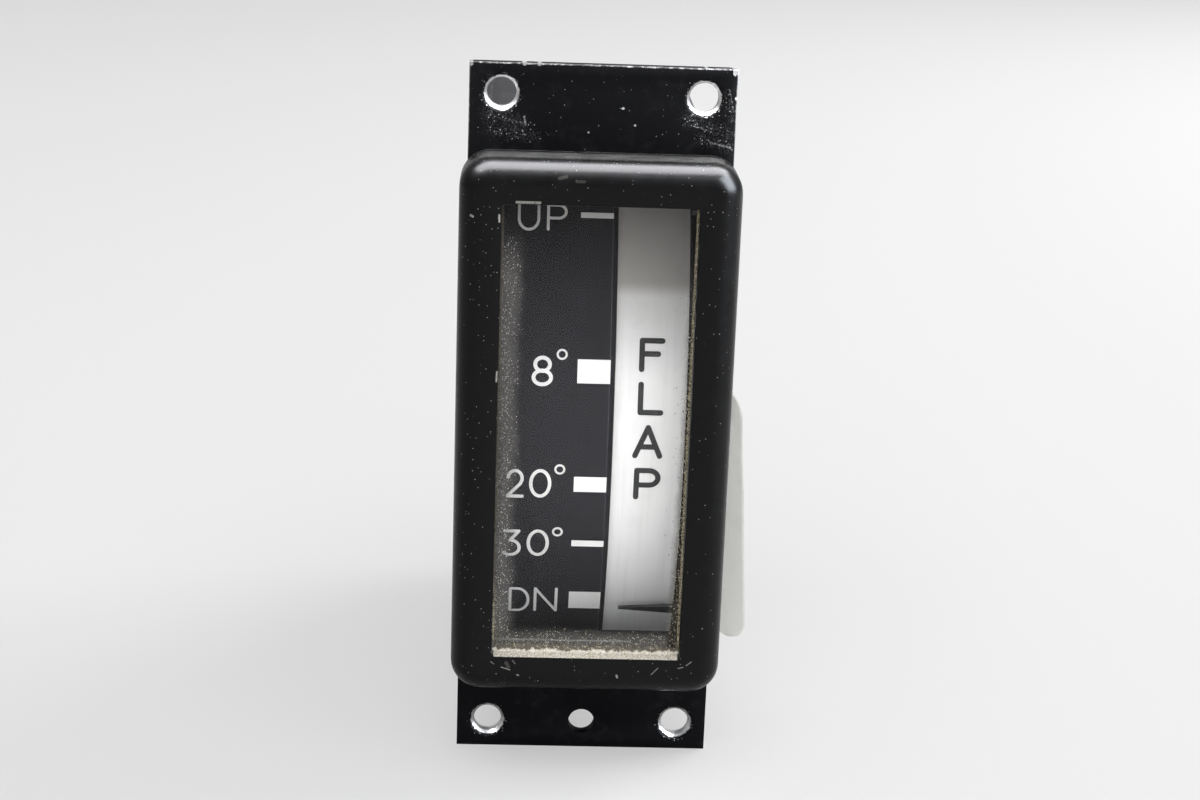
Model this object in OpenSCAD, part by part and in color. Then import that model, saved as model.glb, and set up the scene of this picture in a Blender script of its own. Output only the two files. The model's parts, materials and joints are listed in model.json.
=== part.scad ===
// Edgewise flap position indicator for panel mounting, in millimetres.
// X is to the right seen from the front, Y is depth into the panel, Z is up.
// The origin is the middle of the four mounting holes, on the flange's rear face that meets the panel.

/* [Mounting plate] */
// Width of the flange plate
flange_width = 31.75; // [31.5:0.05:33]
// Height of the flange plate
flange_height = 87.6; // [87:0.1:92]
// Thickness of the flange plate
flange_thickness = 1.6; // [1.4:0.1:2]
// Distance between the left and right mounting holes
hole_spacing_x = 24; // [23:0.1:25]
// Distance between the upper and lower mounting holes
hole_spacing_z = 80.5; // [79:0.1:81.5]
// Diameter of the mounting holes
mounting_hole_d = 3.5; // [3:0.1:3.8]
// Diameter of the countersinks at the mounting holes
countersink_d = 4.7; // [4.2:0.1:5]
// Diameter of the single hole in the middle of the lower flange
centre_hole_d = 3.3; // [2.5:0.1:3.8]

/* [Bezel] */
// Width of the bezel's rim around the window
rim_width = 5.1; // [4.8:0.05:5.3]
// How far the bezel stands out of the flange
bezel_depth = 7.5; // [7:0.1:9]
// Radius of the bezel's four corners
bezel_corner_radius = 3.7; // [3.2:0.1:4.5]
// Radius along the bezel's front edge
bezel_edge_radius = 2.8; // [1.5:0.1:3]
// Width of the window
window_width = 23.2; // [22.4:0.1:23.6]
// Height of the window
window_height = 56.8; // [52:0.1:62]
// Thickness of the lip in front of the glass
lip_thickness = 2.2; // [1.8:0.1:2.4]
// Thickness of the glass
glass_thickness = 1.6; // [1.2:0.1:1.8]
// How far the glass reaches behind the lip
glass_overlap = 1.2; // [1:0.1:1.2]
// Thickness of the gasket behind the glass
gasket_thickness = 0.7; // [0.5:0.1:0.8]
// Thickness of the sheet frame that holds the glass
retainer_thickness = 0.6; // [0.4:0.1:0.8]

/* [Dial] */
// Radius of the curved black dial
dial_radius = 50; // [48:0.5:51]
// Depth of the dial's foremost line behind the flange's front face
dial_setback = 0; // [-0.2:0.1:1]
// Height of the pivot axis against the mounting hole centre
pivot_height = -2.2; // [-2.6:0.1:-1.6]
// Thickness of the two dial sheets
dial_thickness = 0.5; // [0.4:0.05:0.6]
// Right edge of the black dial sheet
dial_edge_x = 2.7; // [2:0.1:4]
// Right edge of the white strip
strip_edge_x = 11.6; // [11:0.1:11.7]
// Width of the bevel along the black dial's right edge
dial_bevel = 0.6; // [0.4:0.05:0.8]
// Length of the printed scale blocks
mark_length = 4.05; // [3.5:0.05:4.6]
// Height of the printed paint above the sheet
paint_height = 0.06; // [0.04:0.01:0.1]

/* [Case] */
// How far the bezel's upper and lower ends stand over the case
case_step = 0.3; // [0.2:0.05:0.5]
// Wall of the case
case_wall = 0.9; // [0.7:0.05:1.1]
// Radius of the case's long edges
case_corner_radius = 2.5; // [2:0.1:3]
// Depth of the seat for the case in the flange's rear face
seat_depth = 0.5; // [0.4:0.05:0.6]
// Thickness of the rear cover
cover_thickness = 1.2; // [1:0.1:2]
// Thickness of the chassis sheet
chassis_thickness = 1; // [0.9:0.05:1.2]

/* [Movement] */
// Radius of the core magnet
magnet_radius = 6; // [5.6:0.1:6.2]
// Half the length of the core magnet
magnet_half = 6; // [5.5:0.1:6.2]
// Wall of the soft iron return ring
yoke_wall = 3.8; // [3.4:0.1:4.2]
// Radial gap between the magnet and the return ring
air_gap = 2.6; // [2.6:0.05:2.9]
// Width of the moving coil along the turning direction
coil_width = 3.8; // [3:0.1:4]
// Radial depth of the coil's winding
winding_depth = 1.2; // [0.9:0.05:1.2]
// Diameter of the pivot staffs
staff_d = 1; // [0.8:0.05:1.1]
// Turns of each hairspring
spring_turns = 5; // [4:1:6]
// Angle from the lowest scale block to the pointer's lower stop
rest_margin = 0; // [0:0.1:1.5]
// Angle from the highest scale block to the pointer's upper stop
top_margin = 2.4; // [1.5:0.1:2.6]
// Height of the pointer blade at its root
blade_height = 1.3; // [0.9:0.05:1.4]
// Width of the pointer arm
arm_width = 1.2; // [1:0.05:1.6]

/* [Terminals] */
// Diameter of the terminal studs
stud_d = 2.9; // [2.5:0.1:3]
// Distance between the terminal studs
stud_pitch = 12; // [10:0.5:13]
// Free length of the studs behind their nuts
stud_free_length = 6; // [4:0.5:9]
// Thickness of the terminal board
board_thickness = 2; // [1.6:0.1:3]

/* [Side label] */
// Height of the label on the right side
label_height = 33.5; // [26:0.5:34]
// Thickness of the label
label_thickness = 0.2; // [0.15:0.01:0.3]
// How far the label's loose front edge stands off the case
label_lift = 5.3; // [4:0.1:6]
// Lean of the label's bend, which lifts its foot more than its top
label_lean = 5; // [0:0.5:6]
// Radius of the label's corners
label_corner_radius = 3; // [2:0.1:4]

/* [Hidden] */
$fn = 96;

// Clearances shared by the pieces
fit = 0.05;
thread_fit = 0.02;
overrun = 1;

// Axial stack of the movement, counted from the middle of the pivot axis
former_inner_half = magnet_half + 0.9;
former_sheet = 0.3;
former_outer_half = former_inner_half + former_sheet;
winding_outer_half = former_outer_half + 1.1;
foot_end = winding_outer_half + 0.5;
cross_start = foot_end + 0.2;
cross_thickness = 0.4;
cross_mid = cross_start + cross_thickness / 2;
spring_start = cross_start + cross_thickness + 0.3;
spring_width = 0.4;
spring_end = spring_start + spring_width;
collet_end = spring_end + 0.15;
tag_thickness = 0.3;
bridge_inner = spring_end + 0.5;
bridge_thickness = 1.2;
bridge_outer = bridge_inner + bridge_thickness;
bridge_foot_gap = 0.4;
jewel_start = bridge_inner - 0.1;
nut_thickness = 0.6;
nut_end = bridge_outer + nut_thickness;
jewel_end = nut_end + 0.2;
staff_tip = jewel_start + 1.1;

// Side positions
chassis_inner_x = -bridge_outer;
chassis_outer_x = chassis_inner_x - chassis_thickness;
wall_clearance = 0.9;
inner_half_width = bridge_outer + chassis_thickness + wall_clearance;
case_half_width = inner_half_width + case_wall;
bezel_width = window_width + 2 * rim_width;
bezel_height = window_height + 2 * rim_width;
case_height = bezel_height - 2 * case_step;
inner_half_height = case_height / 2 - case_wall;
inner_corner_radius = max(case_corner_radius - case_wall, 0.5);
arm_thickness = 0.6;
arm_outer_x = inner_half_width - 0.5;
arm_inner_x = arm_outer_x - arm_thickness;

// Depth positions
flange_front = -flange_thickness;
bezel_front = flange_front - bezel_depth;
seat_floor = -seat_depth;
seat_clearance = 0.1;
glass_front = bezel_front + lip_thickness;
glass_back = glass_front + glass_thickness;
gasket_back = glass_back + gasket_thickness;
retainer_back = gasket_back + retainer_thickness;
pivot_y = flange_front + dial_setback + dial_radius;
yoke_inner_radius = magnet_radius + air_gap;
yoke_outer_radius = yoke_inner_radius + yoke_wall;
yoke_half = magnet_half + 0.5;
case_gasket_thickness = 0.3;
case_front = seat_floor + case_gasket_thickness;
rear_tab_front = pivot_y + yoke_outer_radius + 1.8;
rear_tab_back = rear_tab_front + chassis_thickness;
spigot_depth = 0.8;
case_back = rear_tab_back + spigot_depth;
cover_back = case_back + cover_thickness;
board_back = cover_back + board_thickness;

// Window stack
glass_half_width = window_width / 2 + glass_overlap;
glass_half_height = window_height / 2 + glass_overlap;
pocket_clearance = 0.1;
gasket_strip = 0.7;
retainer_strip = 1.4;
cavity_half_width = inner_half_width + pocket_clearance;
cavity_half_height = glass_half_height + 3 * pocket_clearance;
bead_depth = 0.6;
bead_side = 0.3;
bead_foot = 0.95;

// Screws of the bezel and the chassis
bezel_screw_d = 1.5;
bezel_screw_head_d = 2.8;
bezel_screw_x = 11;
bezel_screw_z = (cavity_half_height + bezel_height / 2) / 2 - 0.2;
bezel_screw_length = 5.2;
bezel_head_depth = 0.7;
blind_end = 0.2;
tab_height = 2;
tab_setback = 0.5;
tab_top = inner_half_height - tab_setback;
tab_low = tab_top - tab_height;
opening_half_height = tab_low - blind_end;
tab_screw_d = 1.2;
tab_screw_z = tab_low + tab_height / 2;
tab_screw_xs = [-6, 4];
tab_screw_setback = 0.1;
tab_screw_length = flange_thickness - seat_depth + chassis_thickness - tab_screw_setback;
tab_right_x = 6;

// Scale blocks, as height of the centre in half windows and height of the block
scale_marks = [[0.853, 0.7], [0.218, 2.95], [-0.292, 2.05], [-0.589, 0.9], [-0.911, 3.2]];
mark_right_x = dial_edge_x - dial_bevel;

// Angle below the pivot's forward line at which the dial reaches a height.
function dial_angle(z) = asin((pivot_height - z) / dial_radius);

function mark_angle(share) = dial_angle(share * window_height / 2);

// Dial, in degrees below the pivot's forward line
rest_angle = mark_angle(scale_marks[4][0]) + rest_margin;
pointer_travel = rest_angle - mark_angle(scale_marks[0][0]) + top_margin;
dial_left_x = chassis_inner_x + 0.1;
dial_hidden = 0.3;
dial_end_gap = 0.25;
bevel_depth = 0.4;
strip_radius = dial_radius - dial_thickness - fit;
strip_left_x = dial_edge_x - 3 * dial_thickness;
carrier_high_radius = dial_radius - dial_thickness - fit;
carrier_low_radius = strip_radius - dial_thickness - fit;
dial_top = dial_angle(window_height / 2 + dial_hidden);
dial_bottom = dial_angle(dial_end_gap - inner_half_height);
carrier_bottom = dial_bottom - 0.5;
rib_depth = 5.8;
bar_depth = 3;
bar_span = 4.4;
bar_inset = 0.4;
bar_lap = 0.5;
left_cheek_width = 1.8;
right_cheek_width = 1;
right_cheek_x = arm_inner_x - 0.7 - right_cheek_width;
dial_screw_angle = dial_top + bar_inset + bar_span / 2;
dial_screw_d = 1.2;
dial_screw_xs = [-6, 7];
bar_step_x = strip_left_x - 0.1;
carrier_screw_radius = carrier_high_radius - rib_depth / 2;
carrier_screw_step = asin(2.6 / dial_radius);
carrier_screw_angles = [dial_top + bar_inset + bar_span + carrier_screw_step,
    carrier_bottom - bar_inset - bar_span - carrier_screw_step];
dial_screw_length = 2.2;

// Screw heads, as diameter and height
cover_head = [3, 1];
board_head = [2.9, 0.9];
chassis_head = [1.9, 0.7];
carrier_head = [2.6, 0.6];
movement_head = [2.8, 0.8];
dial_head = [2.2, 0.45];

// Chassis sheet
chassis_shoulder = 5;
lightening_front = flange_front + dial_setback + 0.28 * dial_radius;
lightening_margin = 4;
lightening_half_height = 14;
lightening_corner = 3;

// Pointer and stops
pointer_gap = 0.9;
blade_inner_radius = dial_radius + pointer_gap;
blade_thickness = 0.4;
pointer_radius = blade_inner_radius + blade_thickness;
blade_tip_x = dial_edge_x + 0.19 * (window_width / 2 - dial_edge_x);
blade_taper = 0.7 * (window_width / 2 - dial_edge_x);
blade_root_x = blade_tip_x + blade_taper;
jog_clearance = 5;
jog_radius = yoke_outer_radius + jog_clearance;
hub_d = 4;
balance_arm_width = 0.7;
balance_arm_length = 7.6;
tail_end = 10.8;
tail_weight_d = 3.4;
tail_weight_length = 5;
side_weight_d = 1.6;
side_weight_length = 2.4;
weight_inset = 0.4;
weight_clearance = 0.01;
stop_inset = 1.2;
stop_radius = carrier_low_radius - rib_depth + stop_inset;
stop_pin_d = 1;
stop_gap = 0.1;
stop_offset = asin((arm_width / 2 + stop_pin_d / 2 + stop_gap) / stop_radius);
stop_angles = [rest_angle + stop_offset, rest_angle - pointer_travel - stop_offset];

// Coil
former_inner_radius = magnet_radius + 0.5;
former_outer_radius = former_inner_radius + former_sheet;
winding_outer_radius = former_outer_radius + winding_depth;
former_width = coil_width + 0.6;
collet_d = staff_d + 0.9;
spring_inner_radius = collet_d / 2 + 0.1;
spring_pitch = 0.5;
spring_sheet = 0.12;
spring_coils = spring_turns + 0.5;
spring_outer_radius = spring_inner_radius + spring_coils * spring_pitch + spring_sheet;
staff_foot_d = min(coil_width, 3.6);
staff_taper = 0.5;
staff_point_d = 0.2;
jewel_d = 2.4;
cup_depth = 0.7;
cup_taper = 0.6;
driver_slot = [0.4, 0.3];
lock_nut_size = 4.4;
lock_nut_d = lock_nut_size / cos(30);
nut_hole_d = lock_nut_d + 1.3;
bridge_half_length = yoke_outer_radius;
bridge_width = 4.4;
movement_screw_d = 1.6;
movement_screw_radius = (yoke_inner_radius + yoke_outer_radius) / 2;
spacer_half_angle = 14;

// Terminals and rear cover
cover_screw_d = 1.6;
cover_screw_x = 8.5;
cover_screw_z = 25;
cover_screw_excess = 0.6;
rear_tab_half_height = 4;
board_half_width = 8;
board_half_height = stud_pitch + 5;
cover_slot_half_width = 4;
cover_slot_half_height = stud_pitch + 3.2;
board_screw_x = 6;
board_screw_z = stud_pitch + 2.5;
washer_thickness = 0.5;
washer_d = stud_d + 3.4;
stud_head_d = stud_d + 2.6;
stud_head_thickness = 1;
stud_shank_d = stud_d + 1;
thread_depth = 0.6;
thread_root_d = stud_d - thread_depth;
stud_tip = 0.4;
stud_nut_thickness = 2.3;
stud_nut_size = stud_d + 2.6;
stud_nut_back = board_back + washer_thickness + stud_nut_thickness;
stud_free_front = stud_nut_back + 0.2;
stud_end = stud_nut_back + stud_free_length;

// Label
label_middle_z = -14.9;
label_front_gap = 6;
label_free_length = 16;
label_stuck_length = 16;
label_front_y = flange_front + label_front_gap;
label_bend_y = label_front_y + label_free_length;
label_back_y = label_bend_y + label_stuck_length;

// A rectangle with round corners, centred, from half sizes.
module round_rectangle(half_width, half_height, radius) {
    square([2 * (half_width - radius), 2 * half_height], center = true);
    square([2 * half_width, 2 * (half_height - radius)], center = true);
    for (side = [-1, 1], end = [-1, 1])
        translate([side * (half_width - radius), end * (half_height - radius)])
            circle(r = radius);
}

module rectangle(half_width, half_height) {
    square([2 * half_width, 2 * half_height], center = true);
}

// Extrudes an outline drawn in X and Z from front towards the back.
module slab(front, thickness) {
    translate([0, front + thickness, 0])
        rotate([90, 0, 0])
            linear_extrude(thickness)
                children();
}

// A round bar along Y.
module bar_y(x, z, front, length, d) {
    translate([x, front + length, z])
        rotate([90, 0, 0])
            cylinder(h = length, d = d);
}

// A cone along Y, from its front diameter to its rear diameter.
module cone_y(x, z, front, length, d_front, d_rear) {
    translate([x, front + length, z])
        rotate([90, 0, 0])
            cylinder(h = length, d1 = d_rear, d2 = d_front);
}

// Extrudes an outline drawn in Y and Z along X.
module sheet_x(left, thickness) {
    translate([left, 0, 0])
        rotate([90, 0, 90])
            linear_extrude(thickness)
                children();
}

// Puts children into the pivot's frame: its x points forward, y down and z to the right.
module at_pivot() {
    translate([0, pivot_y, pivot_height])
        rotate([-90, 0, 0])
            rotate([0, 90, 0])
                children();
}

// The pivot's frame turned to the pointer's rest angle, with x along the pointer.
module at_rest() {
    at_pivot()
        rotate([0, 0, rest_angle])
            children();
}

// Repeats children for the left and the right end of the pivot axis.
module mirrored_left(left) {
    mirror([0, 0, left ? 1 : 0])
        children();
}

// A curved band about the pivot axis between two angles below the forward line.
module arc_band(inner, outer, from_angle, to_angle, left, right) {
    rotate([0, 0, from_angle])
        rotate_extrude(angle = to_angle - from_angle)
            translate([inner, left])
                square([outer - inner, right - left]);
}

// A round bar along the pivot axis at a radius and an angle.
module pin_at(radius, angle, start, length, d) {
    rotate([0, 0, angle])
        translate([radius, 0, start])
            cylinder(h = length, d = d);
}

// Flange plate with the four mounting holes and a seat for the case in its rear face.
module mounting_plate() {
    color("#1a1a1c")
        difference() {
            slab(flange_front, flange_thickness)
                rectangle(flange_width / 2, flange_height / 2);
            slab(flange_front - overrun, flange_thickness + 2 * overrun)
                rectangle(inner_half_width, opening_half_height);
            slab(seat_floor, seat_depth + overrun)
                round_rectangle(case_half_width + seat_clearance, case_height / 2 + seat_clearance,
                    case_corner_radius + seat_clearance);
            for (side = [-1, 1], end = [-1, 1])
                mounting_hole(side * hole_spacing_x / 2, end * hole_spacing_z / 2);
            bar_y(0, -hole_spacing_z / 2, flange_front - overrun, flange_thickness + 2 * overrun,
                centre_hole_d);
            for (side = [-1, 1], end = [-1, 1])
                bezel_screw_hole(side * bezel_screw_x, end * bezel_screw_z);
            for (x = tab_screw_xs, end = [-1, 1])
                bar_y(x, end * tab_screw_z, flange_front - overrun, flange_thickness + 2 * overrun,
                    tab_screw_d + 2 * thread_fit);
        }
}

// A through hole with a shallow countersink at the front.
module mounting_hole(x, z) {
    sink = (countersink_d - mounting_hole_d) / 2;
    bar_y(x, z, flange_front - overrun, flange_thickness + 2 * overrun, mounting_hole_d);
    cone_y(x, z, flange_front - overrun, overrun + sink, countersink_d + 2 * overrun,
        mounting_hole_d);
}

// Clearance for a bezel screw with its head flush in the case seat.
module bezel_screw_hole(x, z) {
    bar_y(x, z, flange_front - overrun, flange_thickness + 2 * overrun,
        bezel_screw_d + 2 * thread_fit);
    cone_y(x, z, seat_floor - bezel_head_depth, bezel_head_depth, bezel_screw_d + 2 * thread_fit,
        bezel_screw_head_d + 2 * thread_fit);
}

// Section of the bezel's rim from its inner corner axis to its side, front edge rounded.
module rim_section() {
    straight = bezel_depth - bezel_edge_radius;
    square([bezel_corner_radius, straight]);
    square([bezel_corner_radius - bezel_edge_radius, bezel_depth]);
    intersection() {
        translate([bezel_corner_radius - bezel_edge_radius, straight])
            circle(r = bezel_edge_radius);
        translate([bezel_corner_radius - bezel_edge_radius, straight])
            square(bezel_edge_radius);
    }
}

// A straight stretch of the rim, its outer side towards +X before it is turned.
module rim_side(length) {
    translate([0, length / 2, 0])
        rotate([90, 0, 0])
            linear_extrude(length)
                rim_section();
}

// Body of the bezel standing on its back, with its front up.
module bezel_block() {
    core_x = bezel_width / 2 - bezel_corner_radius;
    core_z = bezel_height / 2 - bezel_corner_radius;
    linear_extrude(bezel_depth)
        rectangle(core_x, core_z);
    for (turn = [0, 180])
        rotate([0, 0, turn]) {
            translate([core_x, 0, 0])
                rim_side(2 * core_z);
            translate([0, core_z, 0])
                rotate([0, 0, 90])
                    rim_side(2 * core_x);
            translate([core_x, core_z, 0])
                rotate_extrude(angle = 90)
                    rim_section();
            translate([-core_x, core_z, 0])
                rotate([0, 0, 90])
                    rotate_extrude(angle = 90)
                        rim_section();
        }
}

// Front frame with a rounded rim, a sharp window and a stepped pocket for the glass.
module bezel() {
    color("#1b1c1f")
        difference() {
            translate([0, flange_front, 0])
                rotate([90, 0, 0])
                    bezel_block();
            slab(bezel_front - overrun, bezel_depth + 2 * overrun)
                rectangle(window_width / 2, window_height / 2);
            slab(glass_front, bezel_depth)
                rectangle(glass_half_width + pocket_clearance, glass_half_height + pocket_clearance);
            slab(gasket_back, bezel_depth)
                rectangle(cavity_half_width, cavity_half_height);
            for (side = [-1, 1], end = [-1, 1])
                bar_y(side * bezel_screw_x, end * bezel_screw_z,
                    seat_floor - bezel_screw_length - blind_end, bezel_screw_length + overrun,
                    bezel_screw_d + 2 * thread_fit);
        }
}

// Flat window glass behind the bezel's lip.
module window_glass() {
    color("#c9d4d6", 0.4)
        slab(glass_front, glass_thickness)
            rectangle(glass_half_width, glass_half_height);
}

// Aged bead of sealant in the corner between the window's edge and the glass.
module sealant_bead() {
    color("#d9cf9e")
        slab(glass_front - bead_depth, bead_depth)
            difference() {
                rectangle(window_width / 2, window_height / 2);
                translate([0, (bead_foot - bead_side) / 2])
                    rectangle(window_width / 2 - bead_side,
                        window_height / 2 - (bead_foot + bead_side) / 2);
            }
}

// Rubber frame between the glass and its retainer.
module glass_gasket() {
    color("#2b2b2b")
        slab(glass_back, gasket_thickness)
            difference() {
                rectangle(glass_half_width, glass_half_height);
                rectangle(glass_half_width - gasket_strip, glass_half_height - gasket_strip);
            }
}

// Thin sheet frame that presses the gasket and the glass against the lip.
module glass_retainer() {
    outer_x = cavity_half_width - pocket_clearance;
    outer_z = cavity_half_height - pocket_clearance;
    color("#8d9092")
        slab(gasket_back, retainer_thickness)
            difference() {
                rectangle(outer_x, outer_z);
                rectangle(outer_x - retainer_strip, outer_z - retainer_strip / 2);
            }
}

// Flush screws through the flange into the back of the bezel.
module bezel_screws() {
    color("#9a9ca0")
        for (side = [-1, 1], end = [-1, 1]) {
            bar_y(side * bezel_screw_x, end * bezel_screw_z, seat_floor - bezel_screw_length,
                bezel_screw_length, bezel_screw_d);
            cone_y(side * bezel_screw_x, end * bezel_screw_z, seat_floor - bezel_head_depth,
                bezel_head_depth, bezel_screw_d, bezel_screw_head_d);
        }
}

// Outline of the case, filled or as its wall.
module case_outline() {
    round_rectangle(case_half_width, case_height / 2, case_corner_radius);
}

module case_ring() {
    difference() {
        case_outline();
        round_rectangle(inner_half_width, inner_half_height, inner_corner_radius);
    }
}

// Flat gasket between the flange's seat and the case.
module case_gasket() {
    color("#3a3a3a")
        slab(seat_floor, case_gasket_thickness)
            case_ring();
}

// Drawn rectangular sleeve around the mechanism.
module case_shell() {
    color("#1f1f21")
        slab(case_front, case_back - case_front)
            case_ring();
}

// Rear cover with a spigot inside the case and a slot for the studs.
module rear_cover() {
    color("#1f1f21")
        difference() {
            union() {
                slab(case_back, cover_thickness)
                    case_outline();
                slab(rear_tab_back, spigot_depth)
                    round_rectangle(inner_half_width - pocket_clearance,
                        inner_half_height - pocket_clearance, inner_corner_radius);
            }
            slab(rear_tab_back - overrun, 2 * overrun + spigot_depth + cover_thickness)
                rectangle(cover_slot_half_width, cover_slot_half_height);
            for (side = [-1, 1], end = [-1, 1]) {
                bar_y(side * cover_screw_x, end * cover_screw_z, rear_tab_back - overrun,
                    2 * overrun + spigot_depth + cover_thickness, cover_screw_d + 4 * fit);
                bar_y(side * board_screw_x, end * board_screw_z, rear_tab_back - overrun,
                    2 * overrun + spigot_depth + cover_thickness, cover_screw_d + 2 * thread_fit);
            }
        }
}

// A screw from behind with a low round head and a driving slot.
module rear_screw(x, z, seat, length, d, head) {
    slot_width = d / 4;
    difference() {
        union() {
            bar_y(x, z, seat - length, length, d);
            bar_y(x, z, seat, head[1], head[0]);
        }
        translate([x - head[0], seat + head[1] / 2, z - slot_width / 2])
            cube([2 * head[0], head[1], slot_width]);
    }
}

module cover_screws() {
    color("#9a9ca0")
        for (side = [-1, 1], end = [-1, 1])
            rear_screw(side * cover_screw_x, end * cover_screw_z, cover_back,
                cover_back - rear_tab_front + cover_screw_excess, cover_screw_d, cover_head);
}

// Paper label on the right side, stuck at the back and curled away at its front edge.
module side_label() {
    reach = label_bend_y - label_front_y;
    half_bend = atan(label_lift / reach);
    bend_radius = reach / sin(2 * half_bend);
    cover = label_height + label_stuck_length;
    color("#d9d8d1")
        intersection() {
            translate([case_half_width, label_bend_y, label_middle_z])
                rotate([label_lean, 0, 0])
                    translate([0, 0, -cover / 2])
                        linear_extrude(cover) {
                            square([label_thickness, cover - label_stuck_length]);
                            translate([bend_radius, 0])
                                curl(bend_radius, 2.6 * half_bend);
                        }
            sheet_x(case_half_width - overrun, 2 * label_lift)
                translate([(label_front_y + label_back_y) / 2, label_middle_z])
                    round_rectangle((label_back_y - label_front_y) / 2, label_height / 2,
                        label_corner_radius);
        }
}

// The bent stretch of the label seen from above: a thin ring cut to an angle.
module curl(bend_radius, angle) {
    far = 2 * bend_radius;
    intersection() {
        difference() {
            circle(r = bend_radius);
            circle(r = bend_radius - label_thickness);
        }
        polygon([[0, 0], [-far, 0], [-far * cos(angle), -far * sin(angle)]]);
    }
}

// Section of the black sheet with its bevelled right edge.
module dial_section() {
    inner = dial_radius - dial_thickness;
    polygon([[inner, dial_left_x], [dial_radius, dial_left_x],
        [dial_radius, dial_edge_x - dial_bevel], [dial_radius - bevel_depth, dial_edge_x],
        [inner, dial_edge_x]]);
}

// Black curved sheet with the raised printed scale blocks.
module dial_plate() {
    color("#2f2e31")
        at_pivot()
            difference() {
                union() {
                    rotate([0, 0, dial_top])
                        rotate_extrude(angle = dial_bottom - dial_top)
                            dial_section();
                    for (mark = scale_marks)
                        scale_block(mark_angle(mark[0]), mark[1]);
                }
                dial_screw_hole(dial_screw_xs[0]);
            }
}

// One printed block of the scale, centred on its angle.
module scale_block(angle, height) {
    half_angle = asin(height / 2 / dial_radius);
    arc_band(dial_radius - dial_thickness / 2, dial_radius + paint_height, angle - half_angle,
        angle + half_angle, mark_right_x - mark_length, mark_right_x);
}

module dial_screw_hole(x) {
    rotate([0, 0, dial_screw_angle])
        translate([carrier_low_radius - bar_depth - overrun, 0, x])
            rotate([0, 90, 0])
                cylinder(h = bar_depth + 4 * overrun, d = dial_screw_d + 2 * thread_fit);
}

// White curved strip behind the pointer, half a sheet lower than the dial.
module pointer_background() {
    color("#dcdcda")
        at_pivot()
            difference() {
                arc_band(strip_radius - dial_thickness, strip_radius, dial_top, dial_bottom,
                    strip_left_x, strip_edge_x);
                dial_screw_hole(dial_screw_xs[1]);
            }
}

// Curved frame that carries both dial sheets on two cheeks and two cross bars.
module dial_carrier() {
    color("#3c3d40")
        at_pivot() {
            carrier_cheek(carrier_high_radius, chassis_inner_x, left_cheek_width)
                for (angle = carrier_screw_angles)
                    pin_at(carrier_screw_radius, angle, chassis_inner_x - overrun,
                        left_cheek_width + 2 * overrun, movement_screw_d + 2 * thread_fit);
            carrier_cheek(carrier_low_radius, right_cheek_x, right_cheek_width)
                for (angle = stop_angles)
                    pin_at(stop_radius, angle, right_cheek_x - overrun,
                        right_cheek_width + 2 * overrun, stop_pin_d + 2 * thread_fit);
            difference() {
                carrier_bar(dial_top + bar_inset);
                for (x = dial_screw_xs)
                    dial_screw_hole(x);
            }
            carrier_bar(carrier_bottom - bar_span - bar_inset);
        }
}

// Stepped cross bar let into both cheeks, its two faces just under the dial sheets.
module carrier_bar(start) {
    left = chassis_inner_x + left_cheek_width - bar_lap;
    right = right_cheek_x + bar_lap;
    inner = carrier_low_radius - bar_depth;
    low = carrier_low_radius - fit;
    high = carrier_high_radius - fit;
    rotate([0, 0, start])
        rotate_extrude(angle = bar_span)
            polygon([[inner, left], [high, left], [high, bar_step_x], [low, bar_step_x],
                [low, right], [inner, right]]);
}

// One curved cheek of the carrier, with its children cut out.
module carrier_cheek(radius, left, width) {
    difference() {
        arc_band(radius - rib_depth, radius, dial_top, carrier_bottom, left, left + width);
        children();
    }
}

// Small screws through the upper end of both dial sheets.
module dial_screws() {
    color("#9a9ca0")
        at_pivot()
            for (screw = [[dial_screw_xs[0], dial_radius], [dial_screw_xs[1], strip_radius]])
                rotate([0, 0, dial_screw_angle])
                    translate([screw[1], 0, screw[0]])
                        rotate([0, 90, 0]) {
                            translate([0, 0, -dial_screw_length])
                                cylinder(h = dial_screw_length + fit, d = dial_screw_d);
                            translate([0, 0, fit])
                                cylinder(h = dial_head[1], d = dial_head[0]);
                        }
}

// Screws through the chassis into the left cheek of the carrier.
module carrier_screws() {
    color("#9a9ca0")
        at_pivot()
            for (angle = carrier_screw_angles) {
                pin_at(carrier_screw_radius, angle, chassis_outer_x,
                    chassis_thickness + left_cheek_width, movement_screw_d);
                pin_at(carrier_screw_radius, angle, chassis_outer_x - carrier_head[1],
                    carrier_head[1], carrier_head[0]);
            }
}

// Two pins on the carrier that stop the pointer's arm.
module stop_pins() {
    color("#b8b9bb")
        at_pivot()
            for (angle = stop_angles)
                pin_at(stop_radius, angle, right_cheek_x, arm_outer_x - right_cheek_x, stop_pin_d);
}

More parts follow.
